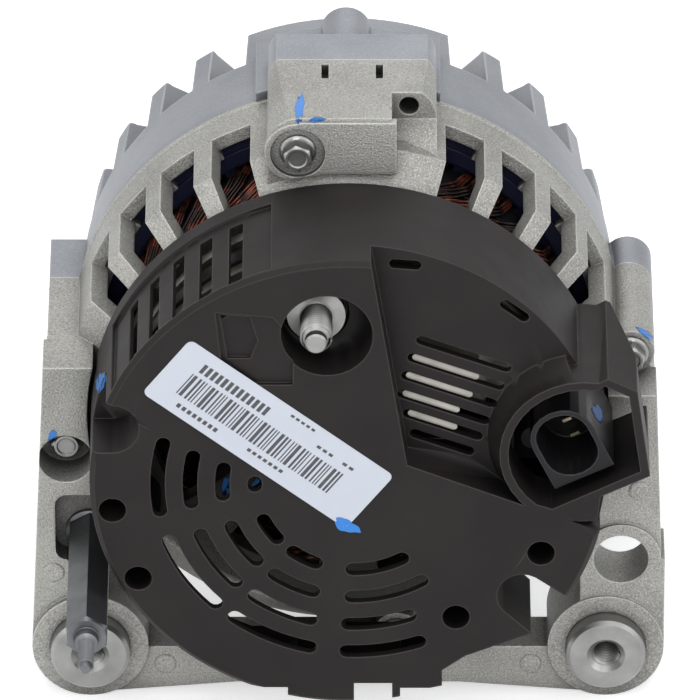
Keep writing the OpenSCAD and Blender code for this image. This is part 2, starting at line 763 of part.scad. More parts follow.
// Fasteners
module hex_flange_bolt(low, seat, flats, r)
    union() {
        rod(low, seat, r);
        rod(seat, seat + 1.2, flats / 2 + 1.25);
        span(seat + 1.2, seat + 4.6) hexagon(flats);
    }

module through_bolts()
    color(steel) on_circle(bolt_circle_r, bolt_angles)
        hex_flange_bolt(seam_z - bolt_reach, -bolt_seat, bolt_flats, bolt_r);

module cover_screws()
    color(steel) for (k = [0:3]) at(screw_places[k]) {
        rod(end_in_z, pillar_floor, 1.8);
        rod(pillar_floor, pillar_floor + 2.4, 3.1);
        if (k == 0) rod(pillar_floor + 2.4, pillar_floor + 19, 1.9);
    }

module spacer_stud()
    color(steel) at(spacer_place) {
        rod(spacer_base - 6.5, spacer_base, 2.5);
        rod(spacer_base, spacer_base + 1.5, spacer_flats / 2 + 1.2);
        span(spacer_base + 1.5, spacer_base + spacer_len) rotate(30) hexagon(spacer_flats);
        rod(spacer_base + spacer_len, spacer_base + spacer_len + 3, spacer_pin_r + 1);
        rod(spacer_base + spacer_len + 3, rear_reach, spacer_pin_r);
    }

module bush()
    difference() {
        rotate_extrude() polygon([[0, bush_proud - bush_len], [bush_r, bush_proud - bush_len],
            [bush_r, bush_proud - 0.8], [bush_r - 0.8, bush_proud], [0, bush_proud]]);
        rod(bush_proud - bush_len - 1, bush_proud + 1, bush_hole_r);
    }

module left_bush() color(steel) at(ear_places[0]) bush();

module right_bush() color(steel) at(ear_places[1]) bush();

// Stator
module core_slot_ring(low, high, inset)
    span(low, high) for (k = [0:core_slots - 1]) rotate((k + 0.5) * 360 / core_slots)
        polygon([[core_bore_r + 1.2 + inset, -1.9 + inset],
            [core_bore_r + slot_depth - inset, -2.6 + inset],
            [core_bore_r + slot_depth - inset, 2.6 - inset],
            [core_bore_r + 1.2 + inset, 1.9 - inset]]);

module stator_core()
    color([0.25, 0.26, 0.3]) difference() {
        pipe(core_front_z, core_rear_z, core_r, core_bore_r);
        core_slot_ring(core_front_z - 1, core_rear_z + 1, 0);
        span(core_front_z - 1, core_rear_z + 1) for (k = [0:core_slots - 1])
            rotate((k + 0.5) * 360 / core_slots)
                translate([core_bore_r - 1, -0.9]) square([3, 1.8]);
    }

module end_turns(low, high)
    difference() {
        rotate_extrude() polygon([[core_bore_r + 1, low], [turn_r, low],
            [turn_r, high - 4], [turn_r - 2.4, high], [core_bore_r + 2.6, high],
            [core_bore_r + 1, high - 3]]);
        // Valleys between the crossing bundles of wire
        for (k = [0:core_slots - 1]) rotate(k * 360 / core_slots)
            translate([turn_r + 0.4, 0, low + 3]) rotate([-28, 0, 0])
                cylinder(h = high - low, r = 1.5, $fn = 16);
    }

module stator_winding()
    color(copper) {
        core_slot_ring(core_front_z, core_rear_z, 0.4);
        end_turns(core_rear_z, core_rear_z + turn_len);
        translate([0, 0, 2 * core_mid_z]) mirror([0, 0, 1])
            end_turns(core_rear_z, core_rear_z + turn_len - 4);
    }

module end_insulators()
    color([0.08, 0.1, 0.3]) for (z = [core_rear_z, core_front_z - 1.4])
        pipe(z, z + 1.4, (z > core_mid_z ? rear_stop_r : front_in_r) - 0.2, turn_r + 0.1);

// Rotor
module shaft()
    color(steel) difference() {
        union() {
            rod(shaft_front, nut_top, thread_r);
            rod(nut_top, front_bearing_top, front_journal_r);
            rod(front_bearing_top, pole_front_z, front_journal_r + 2.5);
            rod(pole_front_z, pole_rear_z, shaft_r);
            rod(pole_rear_z, rear_bearing_bottom, rear_journal_r + 2);
            rod(rear_bearing_bottom, rear_bearing_top, rear_journal_r);
            rod(rear_bearing_top, shaft_rear, tail_r);
        }
        // Broached socket in the end, for holding the shaft while the nut is turned
        span(shaft_front - 1, shaft_front + 9) hexagon(8);
    }

module pole_half()
    // The claws point forwards, away from the rear
    difference() {
        union() {
            intersection() {
                rotate_extrude() polygon([[0, 0], [rotor_r, 0],
                    [rotor_r, -pole_disc_t - pole_gap],
                    [rotor_r - claw_tip_t, -pole_disc_t - pole_gap],
                    [rotor_r - claw_tip_t - 4, -pole_disc_t],
                    [0, -pole_disc_t]]);
                union() {
                    rod(-pole_disc_t, 0, rotor_r - 13);
                    for (k = [0:claws - 1]) rotate(k * 360 / claws)
                        translate([pole_core_r, 0, 0]) rotate([90, 0, 90])
                            linear_extrude(rotor_r) polygon([[-claw_base_half, 1],
                                [claw_base_half, 1], [claw_base_half, -pole_disc_t],
                                [claw_tip_half, -pole_disc_t - pole_gap],
                                [-claw_tip_half, -pole_disc_t - pole_gap],
                                [-claw_base_half, -pole_disc_t]]);
                }
            }
            rod(-pole_disc_t - pole_gap / 2, 0, pole_core_r);
        }
        rod(-pole_disc_t - pole_gap, 1, shaft_r);
    }

module rear_pole() color([0.45, 0.44, 0.43]) translate([0, 0, pole_rear_z]) pole_half();

module front_pole()
    color([0.45, 0.44, 0.43]) translate([0, 0, pole_front_z]) mirror([0, 0, 1])
        rotate(180 / claws) pole_half();

module field_bobbin()
    color([0.85, 0.8, 0.65]) {
        bobbin_low = core_mid_z - pole_gap / 2;
        bobbin_high = core_mid_z + pole_gap / 2;
        difference() {
            rod(bobbin_low, bobbin_high, rotor_r - claw_tip_t - 4.6);
            rod(bobbin_low - 1, bobbin_high + 1, pole_core_r);
            pipe(bobbin_low + 1.2, bobbin_high - 1.2, rotor_r, pole_core_r + 1.2);
        }
    }

module field_coil()
    color(copper) pipe(core_mid_z - pole_gap / 2 + 1.2, core_mid_z + pole_gap / 2 - 1.2,
        rotor_r - claw_tip_t - 5.4, pole_core_r + 1.2);

module fan_blade_outline() {
    // One blade is an arc that leans back from its inner end
    intersection() {
        difference() {
            translate([blade_in_r + 2, -16]) circle(22);
            translate([blade_in_r + 2, -16]) circle(22 - blade_t);
        }
        translate([blade_in_r + 2, -2]) square([fan_r - blade_in_r, 12]);
        circle(fan_r);
    }
}

module fan_plate_outline()
    difference() {
        union() {
            circle(blade_in_r + 4);
            for (k = [0:fan_blades - 1]) rotate(k * 360 / fan_blades)
                intersection() {
                    circle(fan_r);
                    translate([blade_in_r, -4]) square([fan_r, 10]);
                }
        }
        circle(fan_hub_r);
    }

module fan(plate_low, plate_high, blade_low, blade_high) {
    span(plate_low, plate_high) fan_plate_outline();
    span(blade_low, blade_high) for (k = [0:fan_blades - 1])
        rotate(k * 360 / fan_blades) fan_blade_outline();
}

module rear_fan()
    color(steel) fan(pole_rear_z, pole_rear_z + fan_plate_t,
        pole_rear_z + fan_plate_t, rear_blade_top);

module front_fan()
    color(steel) fan(pole_front_z - fan_plate_t, pole_front_z,
        front_blade_bottom, pole_front_z - fan_plate_t);

// Bearings
function race_r(bore, outer) = (bore + outer) / 2;
function ball_r(bore, outer) = (outer - bore) * 0.29;

module outer_race(low, high, bore, outer)
    difference() {
        pipe(low, high, outer, outer - (outer - bore) * 0.21);
        rotate_extrude() translate([race_r(bore, outer), (low + high) / 2])
            circle(ball_r(bore, outer) + 0.05);
    }

module inner_race(low, high, bore, outer)
    difference() {
        pipe(low, high, bore + (outer - bore) * 0.21, bore);
        rotate_extrude() translate([race_r(bore, outer), (low + high) / 2])
            circle(ball_r(bore, outer) + 0.05);
    }

module ball_set(low, high, bore, outer) {
    mid = (low + high) / 2;
    cage_half = (outer - bore) * 0.12;
    // Cage with a round pocket for each ball
    difference() {
        pipe(mid - ball_r(bore, outer) * 1.15, mid + ball_r(bore, outer) * 1.15,
            race_r(bore, outer) + cage_half, race_r(bore, outer) - cage_half);
        for (k = [0:balls - 1]) rotate(k * 360 / balls) translate([bore, 0, mid])
            rotate([0, 90, 0]) cylinder(h = outer, r = ball_r(bore, outer) + 0.04);
    }
    for (k = [0:balls - 1]) rotate(k * 360 / balls)
        translate([race_r(bore, outer), 0, mid]) sphere(ball_r(bore, outer));
}

module front_bearing_outer()
    color(steel) outer_race(front_bearing_bottom, front_bearing_top, front_journal_r,
        front_bearing_r);

module front_bearing_inner()
    color(steel) inner_race(front_bearing_bottom, front_bearing_top, front_journal_r,
        front_bearing_r);

module front_bearing_balls()
    color(steel) ball_set(front_bearing_bottom, front_bearing_top, front_journal_r,
        front_bearing_r);

module rear_bearing_outer()
    color(steel) outer_race(rear_bearing_bottom, rear_bearing_top, rear_journal_r,
        rear_bearing_r);

module rear_bearing_inner()
    color(steel) inner_race(rear_bearing_bottom, rear_bearing_top, rear_journal_r,
        rear_bearing_r);

module rear_bearing_balls()
    color(steel) ball_set(rear_bearing_bottom, rear_bearing_top, rear_journal_r,
        rear_bearing_r);

module bearing_retainer()
    color(steel) difference() {
        rod(front_bearing_top, front_bearing_top + retainer_t, retainer_r);
        rod(front_bearing_top - 1, front_bearing_top + retainer_t + 1, front_journal_r + 5);
        on_circle(retainer_r - 3, [45:90:360])
            rod(front_bearing_top - 1, front_bearing_top + retainer_t + 1, 1.9);
    }

module retainer_screws()
    color(steel) on_circle(retainer_r - 3, [45:90:360]) {
        rod(hub_face_z, front_bearing_top + retainer_t, 1.6);
        rod(front_bearing_top + retainer_t, front_bearing_top + retainer_t + 1.6, 2.9);
    }

// Pulley
module pulley_spacer()
    color(steel) pipe(pulley_top, front_bearing_bottom, front_journal_r + 3, front_journal_r);

module pulley() {
    groove_span = (grooves - 1) * groove_pitch;
    first = (pulley_top + pulley_bottom) / 2 - groove_span / 2;
    color([0.3, 0.31, 0.33]) difference() {
        rotate_extrude() polygon(concat(
            [[front_journal_r, nut_top], [front_journal_r, pulley_top],
                [pulley_r - 6, pulley_top], [pulley_r - 3, pulley_top - 0.8],
                [pulley_r + 1, pulley_top - 0.8], [pulley_r + 1, pulley_top - 1.8]],
            [for (k = [grooves - 1:-1:0]) each [
                [pulley_r, first + (k + 0.48) * groove_pitch],
                [pulley_r - 3, first + (k + 0.12) * groove_pitch],
                [pulley_r - 3, first + (k - 0.12) * groove_pitch],
                [pulley_r, first + (k - 0.48) * groove_pitch]]],
            [[pulley_r + 1, pulley_bottom + 1.8], [pulley_r + 1, pulley_bottom],
                [nut_flats / 2 + 4, pulley_bottom], [nut_flats / 2 + 4, nut_top]]));
    }
}

module pulley_nut()
    color(steel) difference() {
        union() {
            rod(nut_top - 2, nut_top, nut_flats / 2 + 2.5);
            span(nut_top - nut_h, nut_top - 2) hexagon(nut_flats);
        }
        rod(nut_top - nut_h - 1, nut_top + 1, thread_r);
    }

// Slip rings and brush gear
module slip_ring_carrier()
    color([0.35, 0.2, 0.12]) difference() {
        union() {
            rod(rear_hub_top + 1, shaft_rear, carrier_r);
            rod(ring_z[0] - 1.2, ring_z[0], ring_r - 0.6);
            rod(ring_z[0] + ring_len, ring_z[1], ring_r - 0.6);
            rod(ring_z[1] + ring_len, ring_z[1] + ring_len + 1.2, ring_r - 0.6);
        }
        rod(rear_hub_top, shaft_rear + 1, tail_r);
    }

module inner_slip_ring()
    color(copper) pipe(ring_z[0], ring_z[0] + ring_len, ring_r, carrier_r);

module outer_slip_ring()
    color(copper) pipe(ring_z[1], ring_z[1] + ring_len, ring_r, carrier_r);

module brush_holder()
    color(dark_plastic) difference() {
        translate([holder_front, -holder_half, holder_bottom])
            cube([holder_back - holder_front, 2 * holder_half, holder_top - holder_bottom]);
        for (z = brush_z)
            translate([holder_front - 1, -brush_w / 2 - brush_fit, z - brush_t / 2 - brush_fit])
                cube([brush_back + spring_len - holder_front + 1, brush_w + 2 * brush_fit,
                    brush_t + 2 * brush_fit]);
    }

module brush(z)
    color([0.12, 0.12, 0.13]) difference() {
        translate([0, -brush_w / 2, z - brush_t / 2]) cube([brush_back, brush_w, brush_t]);
        rod(z - brush_t, z + brush_t, brush_face);
    }

module inner_brush() brush(brush_z[0]);

module outer_brush() brush(brush_z[1]);

module brush_spring(z)
    color(steel) for (k = [0:4])
        translate([brush_back + 0.1 + k * (spring_len - 1.3) / 4, 0, z]) rotate([0, 90, 0])
            pipe(0, 1.1, brush_t / 2 - 0.3, brush_t / 2 - 1.1);

module inner_brush_spring() brush_spring(brush_z[0]);

module outer_brush_spring() brush_spring(brush_z[1]);

// Regulator with its connector socket
module socket_outline(grow)
    at(socket_place) rotate(socket_tilt) {
        round_box(socket_w + 2 * grow, socket_h + 2 * grow, socket_w / 2 + grow - 0.4);
        if (grow > 0) translate([-socket_w / 2 - grow, -socket_h / 2 - grow])
            square([socket_w + 2 * grow, socket_h / 2]);
    }

module regulator()
    color([0.1, 0.1, 0.11]) difference() {
        union() {
            span(regulator_bottom, regulator_top) intersection() {
                polygon([[holder_back, -10.5], [66, -10.5], [66, 19], [56, 20],
                    [48, 17], [holder_back, 10.5]]);
                circle(cover_r - cover_t - 1);
            }
            span(regulator_bottom + 5, terrace_z - cover_t - 3.6)
                translate([holder_back, -6]) square([6, 12]);
            span(regulator_top, socket_top) socket_outline(socket_wall);
        }
        span(socket_top - socket_depth, socket_top + 1) socket_outline(0);
        for (place = regulator_screw_places) at(place)
            rod(regulator_bottom - 1, regulator_top + 1, 1.7);
    }

module connector_pins()
    color([0.8, 0.75, 0.5]) at(socket_place) rotate(socket_tilt)
        for (y = [-4.6, 0, 4.6]) translate([-1, y - 0.4, socket_top - socket_depth])
            cube([2.4, 0.8, 6]);

module regulator_screws()
    color(steel) for (place = regulator_screw_places) at(place) {
        rod(end_in_z, regulator_top, 1.7);
        rod(regulator_top, regulator_top + 2.2, 3);
    }

// Rectifier
module sink_outline(from, to)
    difference() {
        ring_sector(sink_out_r, sink_in_r, from, to);
        on_circle(rectifier_screw_r, rectifier_screw_angles) circle(1.9);
    }

module negative_heat_sink()
    color(aluminium) span(negative_z, negative_z + sink_t) difference() {
        sink_outline(sink_from, sink_to);
        on_circle(diode_circle_r, diode_angles) circle(diode_r);
    }

module negative_diodes()
    color(steel) on_circle(diode_circle_r, diode_angles) {
        rod(negative_z, negative_z + sink_t + 2.4, diode_r);
        rod(negative_z + sink_t + 2.4, carrier_z + carrier_t, 0.7);
    }

module positive_diodes()
    color(steel) on_circle(diode_circle_r, positive_angles) {
        rod(positive_z - 3, positive_z + sink_t, diode_r);
        rod(carrier_z + 1, positive_z - 3, 0.7);
    }

module terminal_carrier()
    color(dark_plastic) difference() {
        union() {
            span(carrier_z, carrier_z + carrier_t)
                ring_sector(sink_out_r + 1, sink_in_r + 1, sink_from + 2, sink_to - 2);
            // Sleeves that hold the carrier off the lower heat sink
            on_circle(rectifier_screw_r, rectifier_screw_angles)
                rod(negative_z + sink_t, carrier_z + 1, 3.4);
        }
        on_circle(rectifier_screw_r, rectifier_screw_angles)
            rod(negative_z, positive_z + 1, 1.9);
        on_circle(diode_circle_r, diode_angles) rod(carrier_z - 1, positive_z + 1, 0.7);
        on_circle(diode_circle_r, positive_angles)
            rod(carrier_z - 1, positive_z + 1, diode_r + 0.4);
    }

module positive_heat_sink()
    color(aluminium) difference() {
        union() {
            span(positive_z, positive_z + sink_t) {
                sink_outline(sink_from, sink_to);
                polygon([[12, 9], [33, 9], [38, 20], [30, 30], [12, 30]]);
            }
            // Fins that rise into the terrace slots
            span(positive_z + sink_t, fin_top) terrace_slot_rows()
                if ($row > 0 && $row < 5) let (slack = fin_slot_len[$row] - fin_len[$row])
                    translate([1.3 - slack / 2, 0]) straight_slot(fin_len[$row], 1.9);
        }
        on_circle(diode_circle_r, positive_angles) rod(positive_z - 1, positive_z + sink_t, diode_r);
        at(stud_place) rod(positive_z - 1, positive_z + sink_t + 1, stud_r);
    }

module rectifier_screws()
    color(steel) on_circle(rectifier_screw_r, rectifier_screw_angles) {
        rod(end_in_z, positive_z + sink_t, 1.8);
        rod(positive_z + sink_t, positive_z + sink_t + 2.4, 3.2);
    }

module stud_insulator()
    color([0.1, 0.1, 0.11]) at(stud_place)
        pipe(positive_z + sink_t, stud_seat - 2, stud_flange_r + 0.3, stud_r);

module output_stud()
    color(steel) at(stud_place) {
        rod(positive_z, stud_seat - 2, stud_r);
        rod(stud_seat - 2, stud_seat, stud_flange_r);
        rod(stud_seat, stud_seat + stud_len - 2.5, stud_r);
        rod(stud_seat + stud_len - 2.5, stud_seat + stud_len, stud_r - 1.1);
    }

stand() rear_bracket();
stand() front_bracket();
stand() rear_cover();
stand() through_bolts();
stand() cover_screws();
stand() spacer_stud();
stand() left_bush();
stand() right_bush();
stand() stator_core();
stand() stator_winding();
stand() end_insulators();
stand() shaft();
stand() rear_pole();
stand() front_pole();
stand() field_bobbin();
stand() field_coil();
stand() rear_fan();
stand() front_fan();
stand() front_bearing_outer();
stand() front_bearing_inner();
stand() front_bearing_balls();
stand() rear_bearing_outer();
stand() rear_bearing_inner();
stand() rear_bearing_balls();
stand() bearing_retainer();
stand() retainer_screws();
stand() pulley_spacer();
stand() pulley();
stand() pulley_nut();
stand() slip_ring_carrier();
stand() inner_slip_ring();
stand() outer_slip_ring();
stand() brush_holder();
stand() inner_brush();
stand() outer_brush();
stand() inner_brush_spring();
stand() outer_brush_spring();
stand() regulator();
stand() connector_pins();
stand() regulator_screws();
stand() negative_heat_sink();
stand() negative_diodes();
stand() terminal_carrier();
stand() positive_heat_sink();
stand() positive_diodes();
stand() rectifier_screws();
stand() stud_insulator();
stand() output_stud();
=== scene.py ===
import bpy
import json
import math
from mathutils import Matrix, Vector

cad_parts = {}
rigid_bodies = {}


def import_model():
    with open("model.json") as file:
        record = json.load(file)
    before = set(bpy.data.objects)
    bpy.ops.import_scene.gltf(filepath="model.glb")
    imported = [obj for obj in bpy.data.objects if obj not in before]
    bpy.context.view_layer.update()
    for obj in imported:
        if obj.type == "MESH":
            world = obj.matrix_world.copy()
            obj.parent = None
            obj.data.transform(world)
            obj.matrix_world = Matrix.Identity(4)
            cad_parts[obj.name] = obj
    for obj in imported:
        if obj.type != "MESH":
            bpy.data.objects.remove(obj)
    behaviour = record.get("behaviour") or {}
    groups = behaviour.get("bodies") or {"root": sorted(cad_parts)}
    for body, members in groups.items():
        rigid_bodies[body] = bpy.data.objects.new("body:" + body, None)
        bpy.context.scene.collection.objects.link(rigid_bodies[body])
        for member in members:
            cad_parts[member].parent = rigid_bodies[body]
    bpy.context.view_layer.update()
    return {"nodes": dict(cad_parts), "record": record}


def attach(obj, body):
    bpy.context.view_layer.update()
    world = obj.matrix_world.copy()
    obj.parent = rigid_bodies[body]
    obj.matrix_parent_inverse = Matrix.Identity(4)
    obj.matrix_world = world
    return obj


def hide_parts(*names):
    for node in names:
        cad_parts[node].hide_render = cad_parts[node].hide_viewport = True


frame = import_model()
nodes = frame["nodes"]
scene = bpy.context.scene

# bench frame of the part: X right, Y up, Z to the rear, in mm from the shaft on the ear faces
shaftHeight = 81.2
faceToMiddle = 42.9


def rowPoint(x, y, z):
    return Vector((x, -z - faceToMiddle, y + shaftHeight)) / 1000


# elevation in degrees, lens and sensor in mm, picture in pixels, aim in bench mm
cameraLook = {"elevation": 31.0, "lens": 650.0, "sensor": 36, "picture": 700, "pxPerMm": 4.04,
              "aim": (0.5, 23.2, 5.0), "farClip": 20}


def addCamera(look):
    distance = look["picture"] / look["sensor"] * look["lens"] / look["pxPerMm"] / 1000
    up = math.radians(look["elevation"])
    data = bpy.data.cameras.new("photoCamera")
    data.lens = look["lens"]
    data.sensor_width = look["sensor"]
    data.clip_end = look["farClip"]
    camera = bpy.data.objects.new("photoCamera", data)
    scene.collection.objects.link(camera)
    camera.location = rowPoint(*look["aim"]) + Vector((0, -math.cos(up), math.sin(up))) * distance
    camera.rotation_euler = (math.pi / 2 - up, 0, 0)
    scene.camera = camera


addCamera(cameraLook)

# each lamp: place in m, size in m, watts
lampLook = {
    "overheadSoftbox": ((0.0, -0.15, 1.3), 1.2, 6.5),
    "leftSoftbox": ((-1.1, -0.8, 0.7), 0.9, 3.6),
    "rightSoftbox": ((1.05, -0.6, 0.7), 0.9, 3.2),
    "frontFill": ((0.0, -1.35, 0.85), 0.9, 10.0),
    "backRim": ((0.0, 1.1, 0.9), 0.9, 2.0),
}
lampAim = Vector((0, 0, 0.08))


def addLamp(name, place, size, watts):
    data = bpy.data.lights.new(name, "AREA")
    data.size = size
    data.energy = watts
    lamp = bpy.data.objects.new(name, data)
    scene.collection.objects.link(lamp)
    lamp.location = place
    lamp.rotation_euler = (lampAim - Vector(place)).to_track_quat("-Z", "Y").to_euler()


for lampName, lampRow in lampLook.items():
    addLamp(lampName, *lampRow)
print("camera and lamps set")


class Finish:
    # one node tree: coordinates, noise and mixes feed one Principled shader
    def __init__(self, name):
        self.material = bpy.data.materials.new(name)
        self.material.use_nodes = True
        self.tree = self.material.node_tree
        self.tree.nodes.clear()
        self.shader = self.add("ShaderNodeBsdfPrincipled")
        self.output = self.add("ShaderNodeOutputMaterial")
        self.link(self.shader.outputs["BSDF"], self.output.inputs["Surface"])
        self.coords = self.add("ShaderNodeTexCoord").outputs["Object"]

    def add(self, kind, **settings):
        node = self.tree.nodes.new(kind)
        for key, value in settings.items():
            setattr(node, key, value)
        return node

    def link(self, source, target):
        self.tree.links.new(source, target)

    def put(self, socket, value):
        if isinstance(value, bpy.types.NodeSocket):
            self.link(value, socket)
        else:
            socket.default_value = value

    def putColor(self, socket, color):
        self.put(socket, color if isinstance(color, bpy.types.NodeSocket) else (*color, 1))

    def noise(self, scale, detail=3.0, roughness=0.55):
        node = self.add("ShaderNodeTexNoise")
        self.link(self.coords, node.inputs["Vector"])
        node.inputs["Scale"].default_value = scale
        node.inputs["Detail"].default_value = detail
        node.inputs["Roughness"].default_value = roughness
        return node.outputs["Fac"]

    def cells(self, scale):
        node = self.add("ShaderNodeTexVoronoi")
        self.link(self.coords, node.inputs["Vector"])
        node.inputs["Scale"].default_value = scale
        return node.outputs["Distance"]

    def value(self, fac, low, high, fromLow=0.0, fromHigh=1.0):
        node = self.add("ShaderNodeMapRange")
        self.link(fac, node.inputs["Value"])
        node.inputs["From Min"].default_value = fromLow
        node.inputs["From Max"].default_value = fromHigh
        node.inputs["To Min"].default_value = low
        node.inputs["To Max"].default_value = high
        return node.outputs["Result"]

    def mix(self, fac, a, b):
        node = self.add("ShaderNodeMix", data_type="RGBA")
        self.put(node.inputs[0], fac)
        self.putColor(node.inputs[6], a)
        self.putColor(node.inputs[7], b)
        return node.outputs[2]

    def bump(self, height, distance, strength=1.0, normal=None):
        node = self.add("ShaderNodeBump")
        self.link(height, node.inputs["Height"])
        node.inputs["Distance"].default_value = distance
        node.inputs["Strength"].default_value = strength
        if normal is not None:
            self.link(normal, node.inputs["Normal"])
        return node.outputs["Normal"]

    def roundedEdges(self, radius):
        node = self.add("ShaderNodeBevel")
        node.samples = 6
        node.inputs["Radius"].default_value = radius
        return node.outputs["Normal"]

    def paintedEdgeHighlight(self, color, wearAndHighlight, rounded):
        # painted highlight: lighter along edges, where the rounded normal leaves the true one
        flat = self.add("ShaderNodeNewGeometry").outputs["Normal"]
        turn = self.add("ShaderNodeVectorMath", operation="DOT_PRODUCT")
        self.link(flat, turn.inputs[0])
        self.link(rounded, turn.inputs[1])
        return self.mix(self.value(turn.outputs["Value"], 1.0, 0.0, 0.84, 0.975), color, wearAndHighlight)

    def paintedRecessShade(self, color, dark, reach, low, high):
        # painted shade: darker where ambient occlusion finds recesses, within a reach in m
        node = self.add("ShaderNodeAmbientOcclusion")
        node.samples = 6
        node.inputs["Distance"].default_value = reach
        return self.mix(self.value(node.outputs["AO"], 0.0, 1.0, low, high), dark, color)

    def finish(self, color, roughness, metallic=0.0, normal=None, specular=0.5):
        self.putColor(self.shader.inputs["Base Color"], color)
        self.put(self.shader.inputs["Roughness"], roughness)
        self.shader.inputs["Metallic"].default_value = metallic
        self.shader.inputs["Specular IOR Level"].default_value = specular
        if normal is not None:
            self.link(normal, self.shader.inputs["Normal"])
        return self.material


def toned(color, share):
    return tuple(min(1.0, c * share) for c in color)


def paintedInsideShade(f, color, dark, radius):
    # painted shade on what lies inside the housing, by its distance from the shaft
    apart = f.add("ShaderNodeSeparateXYZ")
    f.link(f.coords, apart.inputs[0])
    up = f.add("ShaderNodeMath", operation="SUBTRACT")
    f.link(apart.outputs["Z"], up.inputs[0])
    up.inputs[1].default_value = shaftHeight / 1000
    flat = f.add("ShaderNodeCombineXYZ")
    f.link(apart.outputs["X"], flat.inputs["X"])
    f.link(up.outputs[0], flat.inputs["Y"])
    away = f.add("ShaderNodeVectorMath", operation="LENGTH")
    f.link(flat.outputs[0], away.inputs[0])
    inner, outer = radius - 0.001, radius + 0.001
    return f.mix(f.value(away.outputs["Value"], 0.0, 1.0, inner, outer), dark, color)


# grain is a noise scale, edge a radius in m, inside the radius in m within which it carries
# painted shade
rearCastingLook = {"dark": (0.27, 0.265, 0.247), "bright": (0.38, 0.375, 0.35), "grain": 2200.0,
                   "roughness": 0.5, "metallic": 0.45, "edge": 0.0007, "relief": 0.85,
                   "inside": 0.0605}
frontCastingLook = {"dark": (0.22, 0.231, 0.252), "bright": (0.28, 0.292, 0.315),
                    "grain": 1800.0, "roughness": 0.42, "metallic": 0.45, "edge": 0.0010,
                    "relief": 0.3, "inside": 0}


def castAluminium(name, look):
    # casting: fine grains, slow stains, painted highlights along the edges and painted shade in
    # the recesses
    f = Finish(name)
    dark, bright, relief = look["dark"], look["bright"], look["relief"]
    grainTone = f.value(f.cells(look["grain"]), 0.0, 1.0, 0.1, 0.75)
    tone = f.mix(f.value(f.noise(38.0, 4.0), 0.0, 1.0, 0.38, 0.68), bright, dark)
    fine = f.noise(look["grain"], 2.0, 0.6)
    rounded = f.roundedEdges(look["edge"])
    # painted highlight along the edges
    tone = f.paintedEdgeHighlight(tone, toned(bright, 1.75), rounded)
    tone = f.mix(f.value(fine, 0.0, relief, 0.52, 0.75), tone, toned(bright, 1.55))
    tone = f.mix(f.value(fine, relief, 0.0, 0.28, 0.46), tone, toned(dark, 0.55))
    # painted shade in the recesses
    tone = f.paintedRecessShade(tone, toned(dark, 0.12), 0.010, 0.15, 0.8)
    # painted shade on what lies inside the housing
    if look["inside"]:
        tone = paintedInsideShade(f, tone, toned(dark, 0.16), look["inside"])
    normal = f.bump(grainTone, 0.00012, 0.8 * relief, rounded)
    normal = f.bump(fine, 0.0001, 0.8 * relief, normal)
    roughness = f.value(fine, look["roughness"] - 0.08, look["roughness"] + 0.1)
    return f.finish(tone, roughness, look["metallic"], normal, 0.35)


def mouldedPlastic(name, color, light, roughness):
    f = Finish(name)
    tone = f.mix(f.value(f.noise(45.0, 4.0), 0.0, 1.0, 0.35, 0.7), color, light)
    rounded = f.roundedEdges(0.0006)
    # painted highlight along the edges
    tone = f.paintedEdgeHighlight(tone, toned(light, 5.0), rounded)
    # painted shade in the recesses
    tone = f.paintedRecessShade(tone, toned(color, 0.25), 0.010, 0.2, 0.8)
    normal = f.bump(f.noise(1400.0, 3.0), 0.00006, 0.6, rounded)
    return f.finish(tone, f.value(f.noise(120.0), roughness - 0.07, roughness + 0.08), 0.0,
                    normal, 0.2)


def turnedSteel(name, color, roughness=0.32):
    # painted shade in the roots of threads, smooth on the lands
    f = Finish(name)
    wearAndHighlight = f.noise(160.0, 4.0)
    tone = f.mix(f.value(wearAndHighlight, 0.0, 1.0, 0.3, 0.75), color, toned(color, 0.72))
    # painted shade in the roots of threads
    tone = f.paintedRecessShade(tone, toned(color, 0.08), 0.0012, 0.25, 0.95)
    normal = f.bump(f.noise(1800.0, 2.0), 0.00002, 0.4, f.roundedEdges(0.00007))
    return f.finish(tone, f.value(wearAndHighlight, roughness - 0.06, roughness + 0.14), 1.0, normal)


def copperWire(name, color, resinAndShade):
    # lacquered wire: red brown, mixed at random with dark runs of resin and painted shade
    f = Finish(name)
    wearAndHighlight = f.value(f.noise(170.0, 4.0), 0.0, 1.0, 0.46, 0.7)
    # dark runs of resin and painted shade mixed into the red brown
    return f.finish(f.mix(wearAndHighlight, resinAndShade, color), 0.24, 0.55, f.bump(f.noise(900.0), 0.00005, 0.4))


def plainSatin(name, color, roughness, metallic=0.0):
    f = Finish(name)
    tone = f.mix(f.noise(90.0, 4.0), color, toned(color, 0.8))
    return f.finish(tone, f.value(f.noise(200.0), roughness - 0.05, roughness + 0.06), metallic,
                    f.bump(f.noise(1100.0), 0.00003, 0.5, f.roundedEdges(0.0003)))


